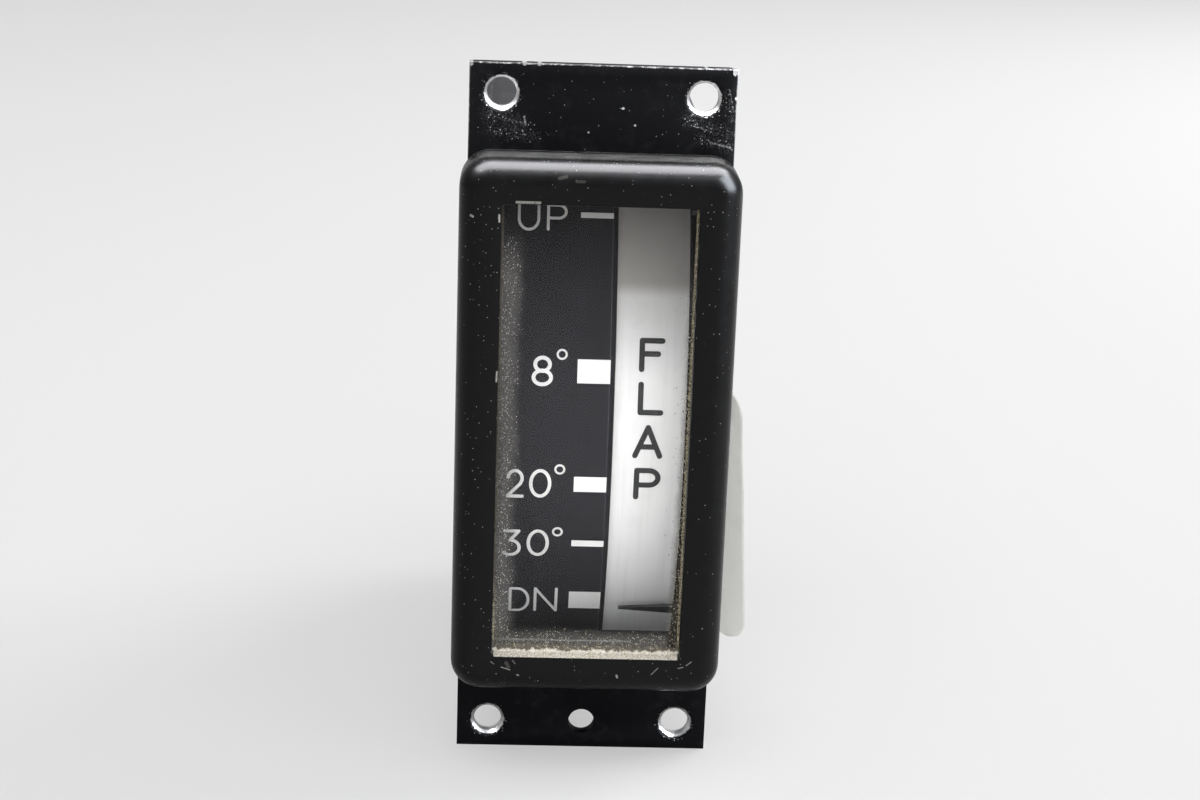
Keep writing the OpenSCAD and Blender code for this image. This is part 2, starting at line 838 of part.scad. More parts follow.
// Side sheet with bent tabs that joins flange, dial carrier, movement and rear cover.
module chassis_plate() {
    color("#a9abad")
        difference() {
            union() {
                sheet_x(chassis_outer_x, chassis_thickness)
                    chassis_outline();
                for (end = [-1, 1]) {
                    slab(seat_floor, chassis_thickness)
                        translate([(chassis_inner_x + tab_right_x) / 2, end * tab_screw_z])
                            rectangle((tab_right_x - chassis_inner_x) / 2, tab_height / 2);
                    slab(rear_tab_front, chassis_thickness)
                        translate([0, end * cover_screw_z])
                            rectangle(-chassis_inner_x, rear_tab_half_height);
                }
            }
            for (x = tab_screw_xs, end = [-1, 1])
                bar_y(x, end * tab_screw_z, seat_floor - overrun,
                    chassis_thickness + 2 * overrun, tab_screw_d + 4 * fit);
            for (side = [-1, 1], end = [-1, 1])
                bar_y(side * cover_screw_x, end * cover_screw_z, rear_tab_front - overrun,
                    chassis_thickness + 2 * overrun, cover_screw_d + 2 * thread_fit);
            at_pivot() {
                for (angle = carrier_screw_angles)
                    pin_at(carrier_screw_radius, angle, chassis_outer_x - overrun,
                        chassis_thickness + 2 * overrun, movement_screw_d + 4 * fit);
                for (angle = [90, 270])
                    pin_at(movement_screw_radius, angle, chassis_outer_x - overrun,
                        chassis_thickness + 2 * overrun, movement_screw_d + 2 * thread_fit);
                pin_at(0, 0, chassis_outer_x - overrun, chassis_thickness + 2 * overrun, nut_hole_d);
            }
        }
}

// Outline of the chassis sheet in depth and height, with a lightening window.
module chassis_outline() {
    body_half = cover_screw_z + rear_tab_half_height;
    lightening_back = pivot_y - yoke_outer_radius - lightening_margin;
    difference() {
        union() {
            translate([seat_floor, -tab_top])
                square([chassis_shoulder, 2 * tab_top]);
            translate([seat_floor, -body_half])
                square([rear_tab_back - seat_floor, 2 * body_half]);
        }
        translate([(lightening_front + lightening_back) / 2, 0])
            round_rectangle((lightening_back - lightening_front) / 2, lightening_half_height,
                lightening_corner);
    }
}

// Screws that hold the chassis tabs to the flange.
module chassis_screws() {
    color("#9a9ca0")
        for (x = tab_screw_xs, end = [-1, 1])
            rear_screw(x, end * tab_screw_z, seat_floor + chassis_thickness, tab_screw_length,
                tab_screw_d, chassis_head);
}

// Soft iron ring that closes the magnet's field around the coil.
module yoke_ring() {
    color("#6f7276")
        at_pivot()
            difference() {
                translate([0, 0, -yoke_half])
                    cylinder(h = 2 * yoke_half, r = yoke_outer_radius);
                translate([0, 0, -yoke_half - overrun])
                    cylinder(h = 2 * (yoke_half + overrun), r = yoke_inner_radius);
                for (angle = [90, 270])
                    pin_at(movement_screw_radius, angle, -yoke_half - overrun,
                        2 * (yoke_half + overrun), movement_screw_d + 4 * fit);
            }
}

// Cylindrical magnet inside the coil.
module core_magnet() {
    color("#55585c")
        at_pivot()
            translate([0, 0, -magnet_half])
                cylinder(h = 2 * magnet_half, r = magnet_radius);
}

// Two brass saddles that hold the magnet in the ring, clear of the coil's travel.
module core_spacers() {
    color("#b99a4b")
        at_pivot()
            for (angle = [0, 180])
                arc_band(magnet_radius + fit, yoke_inner_radius - fit, angle - spacer_half_angle,
                    angle + spacer_half_angle, -magnet_half + 1, magnet_half - 1);
}

// Bridge over one end of the movement, with a foot on each side of the ring.
module bridge(left) {
    color("#c2a45a")
        at_pivot()
            mirrored_left(left)
                difference() {
                    union() {
                        translate([-bridge_width / 2, -bridge_half_length, bridge_inner])
                            cube([bridge_width, 2 * bridge_half_length, bridge_thickness]);
                        for (end = [0, 1])
                            mirror([0, end, 0])
                                translate([-bridge_width / 2, yoke_inner_radius + bridge_foot_gap,
                                        yoke_half])
                                    cube([bridge_width, yoke_wall - bridge_foot_gap,
                                        bridge_inner - yoke_half]);
                    }
                    translate([0, 0, bridge_inner - overrun])
                        cylinder(h = bridge_thickness + 2 * overrun, d = jewel_d + 2 * thread_fit);
                    for (angle = [90, 270])
                        pin_at(movement_screw_radius, angle, yoke_half - overrun,
                            bridge_outer - yoke_half + 2 * overrun, movement_screw_d + 4 * fit);
                }
}

module left_bridge() {
    bridge(true);
}

module right_bridge() {
    bridge(false);
}

// Two long screws that clamp both bridges and the ring to the chassis.
module movement_screws() {
    color("#9a9ca0")
        at_pivot()
            for (angle = [90, 270]) {
                pin_at(movement_screw_radius, angle, chassis_outer_x,
                    bridge_outer - chassis_outer_x, movement_screw_d);
                pin_at(movement_screw_radius, angle, bridge_outer, movement_head[1],
                    movement_head[0]);
            }
}

// Threaded jewel carrier with a conical cup for the staff's tip.
module jewel_screw(left) {
    cup_d = staff_d + 2 * fit;
    color("#c8b273")
        at_pivot()
            mirrored_left(left)
                difference() {
                    translate([0, 0, jewel_start])
                        cylinder(h = jewel_end - jewel_start, d = jewel_d);
                    translate([0, 0, jewel_start - overrun])
                        cylinder(h = cup_depth + overrun, d = cup_d);
                    translate([0, 0, jewel_start + cup_depth])
                        cylinder(h = cup_taper, d1 = cup_d, d2 = staff_point_d);
                    translate([-jewel_d, -driver_slot[0] / 2, jewel_end - driver_slot[1]])
                        cube([2 * jewel_d, driver_slot[0], overrun]);
                }
}

module left_jewel_screw() {
    jewel_screw(true);
}

module right_jewel_screw() {
    jewel_screw(false);
}

// Thin hexagon nut that locks a jewel screw on its bridge.
module lock_nut(left) {
    color("#a8a9ab")
        at_pivot()
            mirrored_left(left)
                translate([0, 0, bridge_outer])
                    difference() {
                        cylinder(h = nut_thickness, d = lock_nut_d, $fn = 6);
                        translate([0, 0, -overrun])
                            cylinder(h = nut_thickness + 2 * overrun, d = jewel_d + 2 * thread_fit);
                    }
}

module left_lock_nut() {
    lock_nut(true);
}

module right_lock_nut() {
    lock_nut(false);
}

// Points along one flank of the flat spiral spring.
function spiral_points(offset, turns, steps) = [
    for (i = [0 : turns * steps])
        let (radius = spring_inner_radius + offset + spring_pitch * i / steps)
        [radius * cos(i * 360 / steps), radius * sin(i * 360 / steps)]
];

function reversed(points) = [for (i = [len(points) - 1 : -1 : 0]) points[i]];

// Flat spiral spring about the staff, its outer end at the tag.
module hairspring(left) {
    steps = 20;
    color("#b5874a")
        at_pivot()
            mirrored_left(left)
                translate([0, 0, spring_start])
                    linear_extrude(spring_width)
                        polygon(concat(spiral_points(0, spring_coils, steps),
                            reversed(spiral_points(spring_sheet, spring_coils, steps))));
}

module left_hairspring() {
    hairspring(true);
}

module right_hairspring() {
    hairspring(false);
}

// Tag under the bridge that holds the outer end of a hairspring.
module spring_tag(left) {
    post_radius = spring_outer_radius + fit;
    post_size = 0.5;
    arm_half_width = 0.4;
    color("#c8b273")
        at_pivot()
            mirrored_left(left)
                difference() {
                    union() {
                        translate([0, 0, bridge_inner - tag_thickness])
                            cylinder(h = tag_thickness, d = jewel_d + 2);
                        translate([-post_radius - post_size, -arm_half_width,
                                bridge_inner - tag_thickness])
                            cube([post_radius + post_size, 2 * arm_half_width, tag_thickness]);
                        translate([-post_radius - post_size, -arm_half_width, spring_start])
                            cube([post_size, 2 * arm_half_width, bridge_inner - spring_start]);
                    }
                    translate([0, 0, bridge_inner - tag_thickness - overrun])
                        cylinder(h = tag_thickness + 2 * overrun, d = jewel_d + 2 * thread_fit);
                }
}

module left_spring_tag() {
    spring_tag(true);
}

module right_spring_tag() {
    spring_tag(false);
}

// A rectangular loop around the magnet, extruded along the pointer's direction.
module loop(inner_radius, inner_half, outer_radius, outer_half, width, corner) {
    sheet_x(-width / 2, width)
        difference() {
            if (corner > 0)
                round_rectangle(outer_radius, outer_half, corner);
            else
                rectangle(outer_radius, outer_half);
            rectangle(inner_radius, inner_half);
        }
}

// Aluminium former that carries the winding and damps its motion.
module coil_former() {
    color("#b9bbbe")
        at_rest()
            loop(former_inner_radius, former_inner_half, former_outer_radius, former_outer_half,
                former_width, 0);
}

module coil_winding() {
    color("#a5552a")
        at_rest()
            loop(former_outer_radius, former_outer_half, winding_outer_radius, winding_outer_half,
                coil_width, 1);
}

// Turned staff with a foot on the coil, a collet for the spring and a pointed end.
module staff(left) {
    color("#c5c6c8")
        at_rest()
            mirrored_left(left) {
                translate([0, 0, winding_outer_half])
                    cylinder(h = foot_end - winding_outer_half, d = staff_foot_d);
                translate([0, 0, foot_end])
                    cylinder(h = collet_end - foot_end, d = collet_d);
                translate([0, 0, collet_end])
                    cylinder(h = staff_tip - staff_taper - collet_end, d = staff_d);
                translate([0, 0, staff_tip - staff_taper])
                    cylinder(h = staff_taper, d1 = staff_d, d2 = staff_point_d);
            }
}

module left_staff() {
    staff(true);
}

module right_staff() {
    staff(false);
}

// Pointer: cross on the staff, cranked arm beside the dial and a tapered blade across the strip.
module pointer() {
    bar_half = balance_arm_width / 2;
    color("#141414")
        at_rest()
            difference() {
                union() {
                    translate([0, 0, cross_start]) {
                        cylinder(h = cross_thickness, d = hub_d);
                        translate([-tail_end, -bar_half, 0])
                            cube([tail_end, balance_arm_width, cross_thickness]);
                        translate([-bar_half, -balance_arm_length, 0])
                            cube([balance_arm_width, 2 * balance_arm_length, cross_thickness]);
                        translate([0, -arm_width / 2, 0])
                            cube([jog_radius, arm_width, cross_thickness]);
                    }
                    translate([jog_radius - arm_thickness, -arm_width / 2, cross_start])
                        cube([arm_thickness, arm_width, arm_outer_x - cross_start]);
                    translate([jog_radius - arm_thickness, -arm_width / 2, arm_inner_x])
                        cube([pointer_radius - jog_radius + arm_thickness, arm_width,
                            arm_thickness]);
                    pointer_blade();
                }
                translate([0, 0, cross_start - overrun])
                    cylinder(h = cross_thickness + 2 * overrun, d = collet_d + 2 * thread_fit);
            }
}

// Blade of the pointer: a flat taper in front of the white strip.
module pointer_blade() {
    tip_half = 0.12;
    root_half = blade_height / 2;
    translate([blade_inner_radius, 0, 0])
        sheet_x(0, blade_thickness)
            polygon([[-tip_half, blade_tip_x], [tip_half, blade_tip_x], [root_half, blade_root_x],
                [root_half, arm_outer_x], [-root_half, arm_outer_x], [-root_half, blade_root_x]]);
}

// Brass sleeves on the tail and the side arms that balance the pointer.
module balance_weights() {
    side_start = balance_arm_length - side_weight_length - weight_inset / 2;
    slot_half = balance_arm_width / 2 + weight_clearance;
    slot_height = cross_thickness + 2 * weight_clearance;
    slot_reach = tail_end + overrun;
    color("#c2a45a")
        at_rest()
            difference() {
                union() {
                    translate([weight_inset - tail_end, 0, cross_mid])
                        rotate([0, 90, 0])
                            cylinder(h = tail_weight_length, d = tail_weight_d);
                    for (side = [-1, 1])
                        translate([0, side * side_start, cross_mid])
                            rotate([-90 * side, 0, 0])
                                cylinder(h = side_weight_length, d = side_weight_d);
                }
                translate([-slot_reach, -slot_half, cross_mid - slot_height / 2])
                    cube([slot_reach, 2 * slot_half, slot_height]);
                translate([-slot_half, -slot_reach, cross_mid - slot_height / 2])
                    cube([2 * slot_half, 2 * slot_reach, slot_height]);
            }
}

// Insulating board behind the cover that carries the studs.
module terminal_board() {
    color("#6b4a2c")
        difference() {
            slab(cover_back, board_thickness)
                rectangle(board_half_width, board_half_height);
            for (row = [-1, 0, 1])
                bar_y(0, row * stud_pitch, cover_back - overrun, board_thickness + 2 * overrun,
                    stud_shank_d + 2 * thread_fit);
            for (side = [-1, 1], end = [-1, 1])
                bar_y(side * board_screw_x, end * board_screw_z, cover_back - overrun,
                    board_thickness + 2 * overrun, cover_screw_d + 4 * fit);
        }
}

// Studs: a head in the cover's slot, a shank in the board and a thread at its root diameter
// where the nut engages, then the free thread with a chamfered tip.
module terminal_studs() {
    color("#b99a4b")
        for (row = [-1, 0, 1]) {
            bar_y(0, row * stud_pitch, cover_back - stud_head_thickness, stud_head_thickness,
                stud_head_d);
            bar_y(0, row * stud_pitch, cover_back, board_thickness, stud_shank_d);
            bar_y(0, row * stud_pitch, board_back, stud_free_front - board_back, thread_root_d);
            bar_y(0, row * stud_pitch, stud_free_front, stud_end - stud_tip - stud_free_front,
                stud_d);
            cone_y(0, row * stud_pitch, stud_end - stud_tip, stud_tip, stud_d,
                stud_d - 2 * stud_tip);
        }
}

module terminal_washers() {
    color("#a8a9ab")
        for (row = [-1, 0, 1])
            difference() {
                bar_y(0, row * stud_pitch, board_back, washer_thickness, washer_d);
                bar_y(0, row * stud_pitch, board_back - overrun, washer_thickness + 2 * overrun,
                    stud_d + 4 * fit);
            }
}

module terminal_nuts() {
    color("#b99a4b")
        for (row = [-1, 0, 1])
            translate([0, board_back + washer_thickness + stud_nut_thickness, row * stud_pitch])
                rotate([90, 0, 0])
                    difference() {
                        cylinder(h = stud_nut_thickness, d = stud_nut_size / cos(30), $fn = 6);
                        translate([0, 0, -overrun])
                            cylinder(h = stud_nut_thickness + 2 * overrun,
                                d = thread_root_d + 2 * thread_fit);
                    }
}

module board_screws() {
    color("#9a9ca0")
        for (side = [-1, 1], end = [-1, 1])
            rear_screw(side * board_screw_x, end * board_screw_z, board_back,
                board_thickness + cover_thickness + spigot_depth, cover_screw_d, board_head);
}

mounting_plate();
bezel();
window_glass();
sealant_bead();
glass_gasket();
glass_retainer();
bezel_screws();
case_gasket();
case_shell();
rear_cover();
cover_screws();
side_label();
dial_plate();
pointer_background();
dial_carrier();
dial_screws();
carrier_screws();
stop_pins();
chassis_plate();
chassis_screws();
yoke_ring();
core_magnet();
core_spacers();
left_bridge();
right_bridge();
movement_screws();
left_jewel_screw();
right_jewel_screw();
left_lock_nut();
right_lock_nut();
left_hairspring();
right_hairspring();
left_spring_tag();
right_spring_tag();
coil_former();
coil_winding();
left_staff();
right_staff();
pointer();
balance_weights();
terminal_board();
terminal_studs();
terminal_washers();
terminal_nuts();
board_screws();
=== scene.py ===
"""Dressed model of an edgewise flap position indicator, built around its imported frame."""

import json
import logging
import math
import random
from dataclasses import dataclass, field
from enum import Enum
from functools import cached_property, reduce
from typing import Any, Iterable, Sequence

import bmesh
import bpy
from mathutils import Matrix, Vector, noise


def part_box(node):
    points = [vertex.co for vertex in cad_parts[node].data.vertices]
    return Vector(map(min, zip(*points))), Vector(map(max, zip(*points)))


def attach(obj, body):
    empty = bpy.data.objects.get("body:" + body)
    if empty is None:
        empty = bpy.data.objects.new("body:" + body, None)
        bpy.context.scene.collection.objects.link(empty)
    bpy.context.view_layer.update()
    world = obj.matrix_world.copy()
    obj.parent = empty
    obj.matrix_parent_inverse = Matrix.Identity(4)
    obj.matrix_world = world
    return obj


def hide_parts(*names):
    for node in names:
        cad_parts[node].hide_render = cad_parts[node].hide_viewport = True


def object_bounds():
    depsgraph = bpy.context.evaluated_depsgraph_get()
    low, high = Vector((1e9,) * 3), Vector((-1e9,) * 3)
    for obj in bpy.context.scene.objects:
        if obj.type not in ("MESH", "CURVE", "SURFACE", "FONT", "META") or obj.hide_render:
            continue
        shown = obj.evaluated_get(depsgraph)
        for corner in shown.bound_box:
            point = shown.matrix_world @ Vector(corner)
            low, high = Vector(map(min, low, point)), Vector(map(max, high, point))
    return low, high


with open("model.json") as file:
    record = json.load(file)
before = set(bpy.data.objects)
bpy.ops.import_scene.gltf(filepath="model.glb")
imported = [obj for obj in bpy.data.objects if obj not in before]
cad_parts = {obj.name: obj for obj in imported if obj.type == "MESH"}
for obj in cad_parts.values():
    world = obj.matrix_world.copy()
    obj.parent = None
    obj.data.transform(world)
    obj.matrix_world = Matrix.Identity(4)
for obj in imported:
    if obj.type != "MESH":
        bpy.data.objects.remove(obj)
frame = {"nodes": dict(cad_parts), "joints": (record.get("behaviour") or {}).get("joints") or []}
CAD_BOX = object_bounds()
BODY = "instrument"
MM = 0.001
LOG = logging.getLogger("flap_indicator")

Point = tuple[float, float]
Triple = tuple[float, float, float]
Colour = Triple
Mark = tuple[Point, Point, float]
Loop = list[Vector]
Socket = bpy.types.NodeSocket
Material = bpy.types.Material

WHITE: Colour = (1.0, 1.0, 1.0)
EVEN: Triple = (1.0, 1.0, 1.0)


class Slot(Enum):
    """Material slots of the record."""

    ENAMEL = "black_enamel"
    BEZEL = "bezel_black"
    CASE = "case_black"
    SEALANT = "aged_sealant"
    STRIP = "dial_white"
    POINTER = "pointer_black"
    STEEL = "bright_steel"
    BRASS = "plain_brass"
    PAPER = "label_paper"
    LAMINATE = "board_laminate"


class Seen(Enum):
    """Which rays a lamp lights."""

    BY_DIFFUSE = "diffuse"
    BY_ALL = "all"
    BY_GLOSS = "gloss"


def linear(hex_colour: str) -> Colour:
    """Turns a display colour such as 1b1c1f into linear red, green and blue."""
    parts = [int(hex_colour[i:i + 2], 16) / 255 for i in (0, 2, 4)]
    return tuple(c / 12.92 if c < 0.04045 else ((c + 0.055) / 1.055) ** 2.4 for c in parts)


class Field:
    """A value socket that takes part in Python expressions."""

    def __init__(self, graph: "Graph", socket: Socket) -> None:
        """Keeps the graph and the socket."""
        self.graph = graph
        self.socket = socket

    def _math(self, operation: str, *others: Any) -> "Field":
        """Adds one Math node with this field first."""
        return self.graph.math(operation, self, *others)

    def __add__(self, other: Any) -> "Field":
        """Adds."""
        return self._math("ADD", other)

    __radd__ = __add__

    def __sub__(self, other: Any) -> "Field":
        """Subtracts."""
        return self._math("SUBTRACT", other)

    def __rsub__(self, other: Any) -> "Field":
        """Subtracts this field from a value."""
        return self.graph.math("SUBTRACT", other, self)

    def __mul__(self, other: Any) -> "Field":
        """Multiplies."""
        return self._math("MULTIPLY", other)

    __rmul__ = __mul__

    def __truediv__(self, other: Any) -> "Field":
        """Divides."""
        return self._math("DIVIDE", other)

    def __pow__(self, other: Any) -> "Field":
        """Raises to a power."""
        return self._math("POWER", other)

    def __abs__(self) -> "Field":
        """Absolute value."""
        return self._math("ABSOLUTE")

    def smallest(self, other: Any) -> "Field":
        """The smaller of two values."""
        return self._math("MINIMUM", other)

    def largest(self, other: Any) -> "Field":
        """The larger of two values."""
        return self._math("MAXIMUM", other)

    def sine(self) -> "Field":
        """Sine of the value in radians."""
        return self._math("SINE")

    def clamped(self) -> "Field":
        """Limits the value to 0 to 1."""
        return self.smallest(1.0).largest(0.0)

    def swing(self, width: float) -> "Field":
        """Turns noise about 0.5 into a swing of this width about 0."""
        return (self - 0.5) * width

    def rise(self, start: float, end: float) -> "Field":
        """Smooth step from 0 to 1.

        Args:
            start: The value that gives 0.
            end: The value that gives 1; it may lie below start.

        Returns:
            The step as a field.
        """
        return self.graph.value("ShaderNodeMapRange", {"interpolation_type": "SMOOTHSTEP", "clamp": True},
                                {"Value": self, "From Min": start, "From Max": end, "To Min": 0.0,
                                 "To Max": 1.0}, "Result")


def union(masks: Iterable[Field]) -> Field:
    """Joins masks by their largest value."""
    return reduce(Field.largest, masks)


class Graph:
    """The node tree of one material, or of the surroundings."""

    def __init__(self, name: str, surroundings: bool = False) -> None:
        """Starts an empty node tree with its output.

        Args:
            name: Name of the material or of the surroundings.
            surroundings: Whether the tree belongs to the surroundings.
        """
        self.owner = (bpy.data.worlds if surroundings else bpy.data.materials).new(name)
        self.owner.use_nodes = True
        self.tree = self.owner.node_tree
        self.tree.nodes.clear()
        self.output = self.node("ShaderNodeOutputWorld" if surroundings else "ShaderNodeOutputMaterial")

    def node(self, kind: str, settings: dict[str, Any] | None = None,
             inputs: dict[Any, Any] | None = None) -> bpy.types.Node:
        """Adds one node.

        Args:
            kind: The node's type.
            settings: Properties of the node, set before its sockets.
            inputs: Values, fields or sockets by input name or number.

        Returns:
            The new node.
        """
        made = self.tree.nodes.new(kind)
        for key, setting in (settings or {}).items():
            setattr(made, key, setting)
        for key, given in (inputs or {}).items():
            self.feed(made.inputs[key], given)
        return made

    def feed(self, socket: Socket, given: Any) -> None:
        """Links a field or socket to an input, or sets the input's value.

        Args:
            socket: The input.
            given: A field, a socket, a number, a vector or a colour.
        """
        if isinstance(given, Field):
            given = given.socket
        if isinstance(given, Socket):
            self.tree.links.new(given, socket)
        elif isinstance(given, tuple) and len(given) == 3 and len(socket.default_value) == 4:
            socket.default_value = (*given, 1.0)
        else:
            socket.default_value = given

    def value(self, kind: str, settings: dict[str, Any] | None = None,
              inputs: dict[Any, Any] | None = None, output: Any = 0) -> Field:
        """Adds one node and wraps one of its outputs."""
        return Field(self, self.node(kind, settings, inputs).outputs[output])

    def math(self, operation: str, *values: Any) -> Field:
        """Adds one Math node."""
        return self.value("ShaderNodeMath", {"operation": operation}, dict(enumerate(values)))

    def vector(self, operation: str, *values: Any) -> Field:
        """Adds one Vector Math node."""
        return self.value("ShaderNodeVectorMath", {"operation": operation}, dict(enumerate(values)))

    @cached_property
    def place(self) -> Field:
        """Position in the shared frame, in millimetres."""
        coordinates = self.value("ShaderNodeTexCoord", output="Object")
        return self.vector("MULTIPLY", coordinates, (1 / MM, 1 / MM, 1 / MM))

    @cached_property
    def axes(self) -> tuple[Field, Field, Field]:
        """The position's x, y and z."""
        return self.split(self.place)

    def split(self, triple: Field) -> tuple[Field, Field, Field]:
        """Splits a vector or a colour into its three values."""
        parts = self.node("ShaderNodeSeparateXYZ", inputs={0: triple})
        return tuple(Field(self, parts.outputs[i]) for i in range(3))

    def grain(self, per_mm: float, detail: float = 2.0, seed: float = 0.0, stretch: Triple = EVEN) -> Field:
        """Cloudy noise about 0.5.

        Args:
            per_mm: Clouds in a millimetre.
            detail: Octaves of finer noise.
            seed: Shift that gives another pattern.
            stretch: Factors on the three axes.

        Returns:
            The noise as a field.
        """
        shifted = self.vector("MULTIPLY_ADD", self.place, stretch, (seed, seed * 1.7, seed * 0.6))
        return self.value("ShaderNodeTexNoise", {"noise_dimensions": "3D"},
                          {"Vector": shifted, "Scale": per_mm, "Detail": detail, "Roughness": 0.6})

    def cells(self, per_mm: float, shift: Triple) -> tuple[Field, Field, Field]:
        """Cells about scattered spots.

        Args:
            per_mm: Cells in a millimetre.
            shift: Shift in millimetres that gives another pattern.

        Returns:
            The distance to the nearest spot, and two random values for each cell.
        """
        shifted = self.vector("ADD", self.place, shift)
        made = self.node("ShaderNodeTexVoronoi", {"feature": "F1"},
                         {"Vector": shifted, "Scale": per_mm, "Randomness": 1.0})
        chance, tone, _ = self.split(Field(self, made.outputs["Color"]))
        return Field(self, made.outputs["Distance"]), chance, tone

    def specks(self, per_mm: float, share: float, size: float, seed: float) -> Field:
        """Small soft specks at random places.

        Args:
            per_mm: Cells in a millimetre, each with one speck at most.
            share: Share of the cells that hold a speck.
            size: Radius of the specks as a part of a cell.
            seed: Shift that gives another pattern.

        Returns:
            A mask that is 1 on the specks.
        """
        near, chance, _ = self.cells(per_mm, (seed, seed * 2.3, seed * 0.7))
        return near.rise(size, size * 0.4) * chance.rise(share, share * 0.8)

    def grains(self, per_mm: float, cover: Any, size: float, seed: float) -> tuple[Field, Field]:
        """Small grains whose number follows a mask.

        Args:
            per_mm: Cells in a millimetre, each with one grain at most.
            cover: Share of the cells that hold a grain, as a number or a field.
            size: Radius of the grains as a part of a cell.
            seed: Shift that gives another pattern.

        Returns:
            A mask that is 1 on the grains, and a random value for each grain.
        """
        near, chance, tone = self.cells(per_mm, (seed, seed * 1.7, seed * 0.6))
        return near.rise(size, size * 0.6) * (cover - chance).rise(0.0, 0.04), tone

    def distance(self, across: Field, up: Field, centre: Point) -> Field:
        """Distance from a centre in two axes."""
        side, rise = across - centre[0], up - centre[1]
        return (side * side + rise * rise) ** 0.5

    def stroke(self, start: Point, end: Point, half_width: float, soft: float) -> Field:
        """A mask along a straight line on the front.

        Args:
            start: One end in x and z.
            end: The other end.
            half_width: Half the line's full width.
            soft: Width of the fade beside it.

        Returns:
            A mask that is 1 on the line.
        """
        x, _, z = self.axes
        run = (end[0] - start[0], end[1] - start[1])
        side, rise = x - start[0], z - start[1]
        along = ((side * run[0] + rise * run[1]) / (run[0] ** 2 + run[1] ** 2)).clamped()
        off_side, off_rise = side - along * run[0], rise - along * run[1]
        far = (off_side * off_side + off_rise * off_rise) ** 0.5
        return far.rise(half_width + soft, half_width)

    def mix(self, factor: Any, first: Any, second: Any) -> Field:
        """Mixes two colours."""
        return self.value("ShaderNodeMix", {"data_type": "RGBA", "clamp_factor": True},
                          {0: factor, 6: first, 7: second}, 2)

    def bump(self, height: Field, depth_mm: float, strength: float = 1.0) -> Field:
        """A bumped normal from a height in parts of a depth."""
        return self.value("ShaderNodeBump", inputs={"Height": height, "Distance": depth_mm * MM,
                                                    "Strength": strength}, output="Normal")

    def shader(self, kind: str, inputs: dict[Any, Any] | None = None) -> Socket:
        """Adds a shader node and returns its output."""
        return self.node(kind, inputs=inputs).outputs[0]

    def surface(self, colour: Any, roughness: Any, specular: float = 0.5, **others: Any) -> Socket:
        """Adds a Principled shader.

        Args:
            colour: Its base colour.
            roughness: Its roughness.
            specular: Its specular level.
            **others: Its other sockets by name, with _ for a blank.

        Returns:
            The shader's output.
        """
        inputs = {"Base Color": colour, "Roughness": roughness, "Specular IOR Level": specular}
        inputs.update({name.replace("_", " "): given for name, given in others.items()})
        return self.shader("ShaderNodeBsdfPrincipled", inputs)

    def blend(self, factor: Any, first: Socket, second: Socket) -> Socket:
        """Mixes two shaders."""
        return self.shader("ShaderNodeMixShader", {0: factor, 1: first, 2: second})

    def finish(self, shader: Socket) -> bpy.types.ID:
        """Links the shader to the output and returns the material or the surroundings."""
        self.feed(self.output.inputs["Surface"], shader)
        return self.owner


@dataclass(frozen=True)
class MetalFinish:
    """Bare or plated metal with fine machining lines and a little tarnish."""

    name: str
    colour: Colour
    dull_colour: Colour
    roughness: float = 0.32
    stretch: Triple = EVEN
    lines_per_mm: float = 6.0
    clouds_per_mm: float = 0.35
    tarnish: Point = (0.42, 0.68)
    line_depth: float = 0.01

    def build(self) -> Material:
        """Builds the material.

        Returns:
            The material.
        """
        g = Graph(self.name)
        clouds = g.grain(self.clouds_per_mm, detail=3.0, seed=4.0)
        lines = g.grain(self.lines_per_mm, detail=3.0, seed=9.0, stretch=self.stretch)
        colour = g.mix(clouds.rise(*self.tarnish), self.colour, self.dull_colour)
        rough = self.roughness + clouds.swing(0.3) + lines.swing(0.25)
        return g.finish(g.surface(colour, rough, Metallic=1.0, Normal=g.bump(lines, self.line_depth, 0.6)))


@dataclass(frozen=True)
class DullFinish:
    """Plain non-metal surface with mottling and a fine grain."""

    name: str
    colour: Colour
    second_colour: Colour
    roughness: float = 0.6
    specular: float = 0.3
    grain_per_mm: float = 3.0
    stretch: Triple = EVEN
    depth_mm: float = 0.02
    clouds_per_mm: float = 0.25
    mottling: Point = (0.4, 0.62)

    def build(self) -> Material:
        """Builds the material.

        Returns:
            The material.
        """
        g = Graph(self.name)
        grain = g.grain(self.grain_per_mm, detail=4.0, seed=2.0, stretch=self.stretch)
        clouds = g.grain(self.clouds_per_mm, detail=3.0, seed=7.0)
        mottled = (grain * 0.6 + clouds * 0.4).rise(*self.mottling)
        colour = g.mix(mottled, self.colour, self.second_colour)
        return g.finish(g.surface(colour, self.roughness + grain.swing(0.3), self.specular,
                                  Normal=g.bump(grain, self.depth_mm, 0.8)))


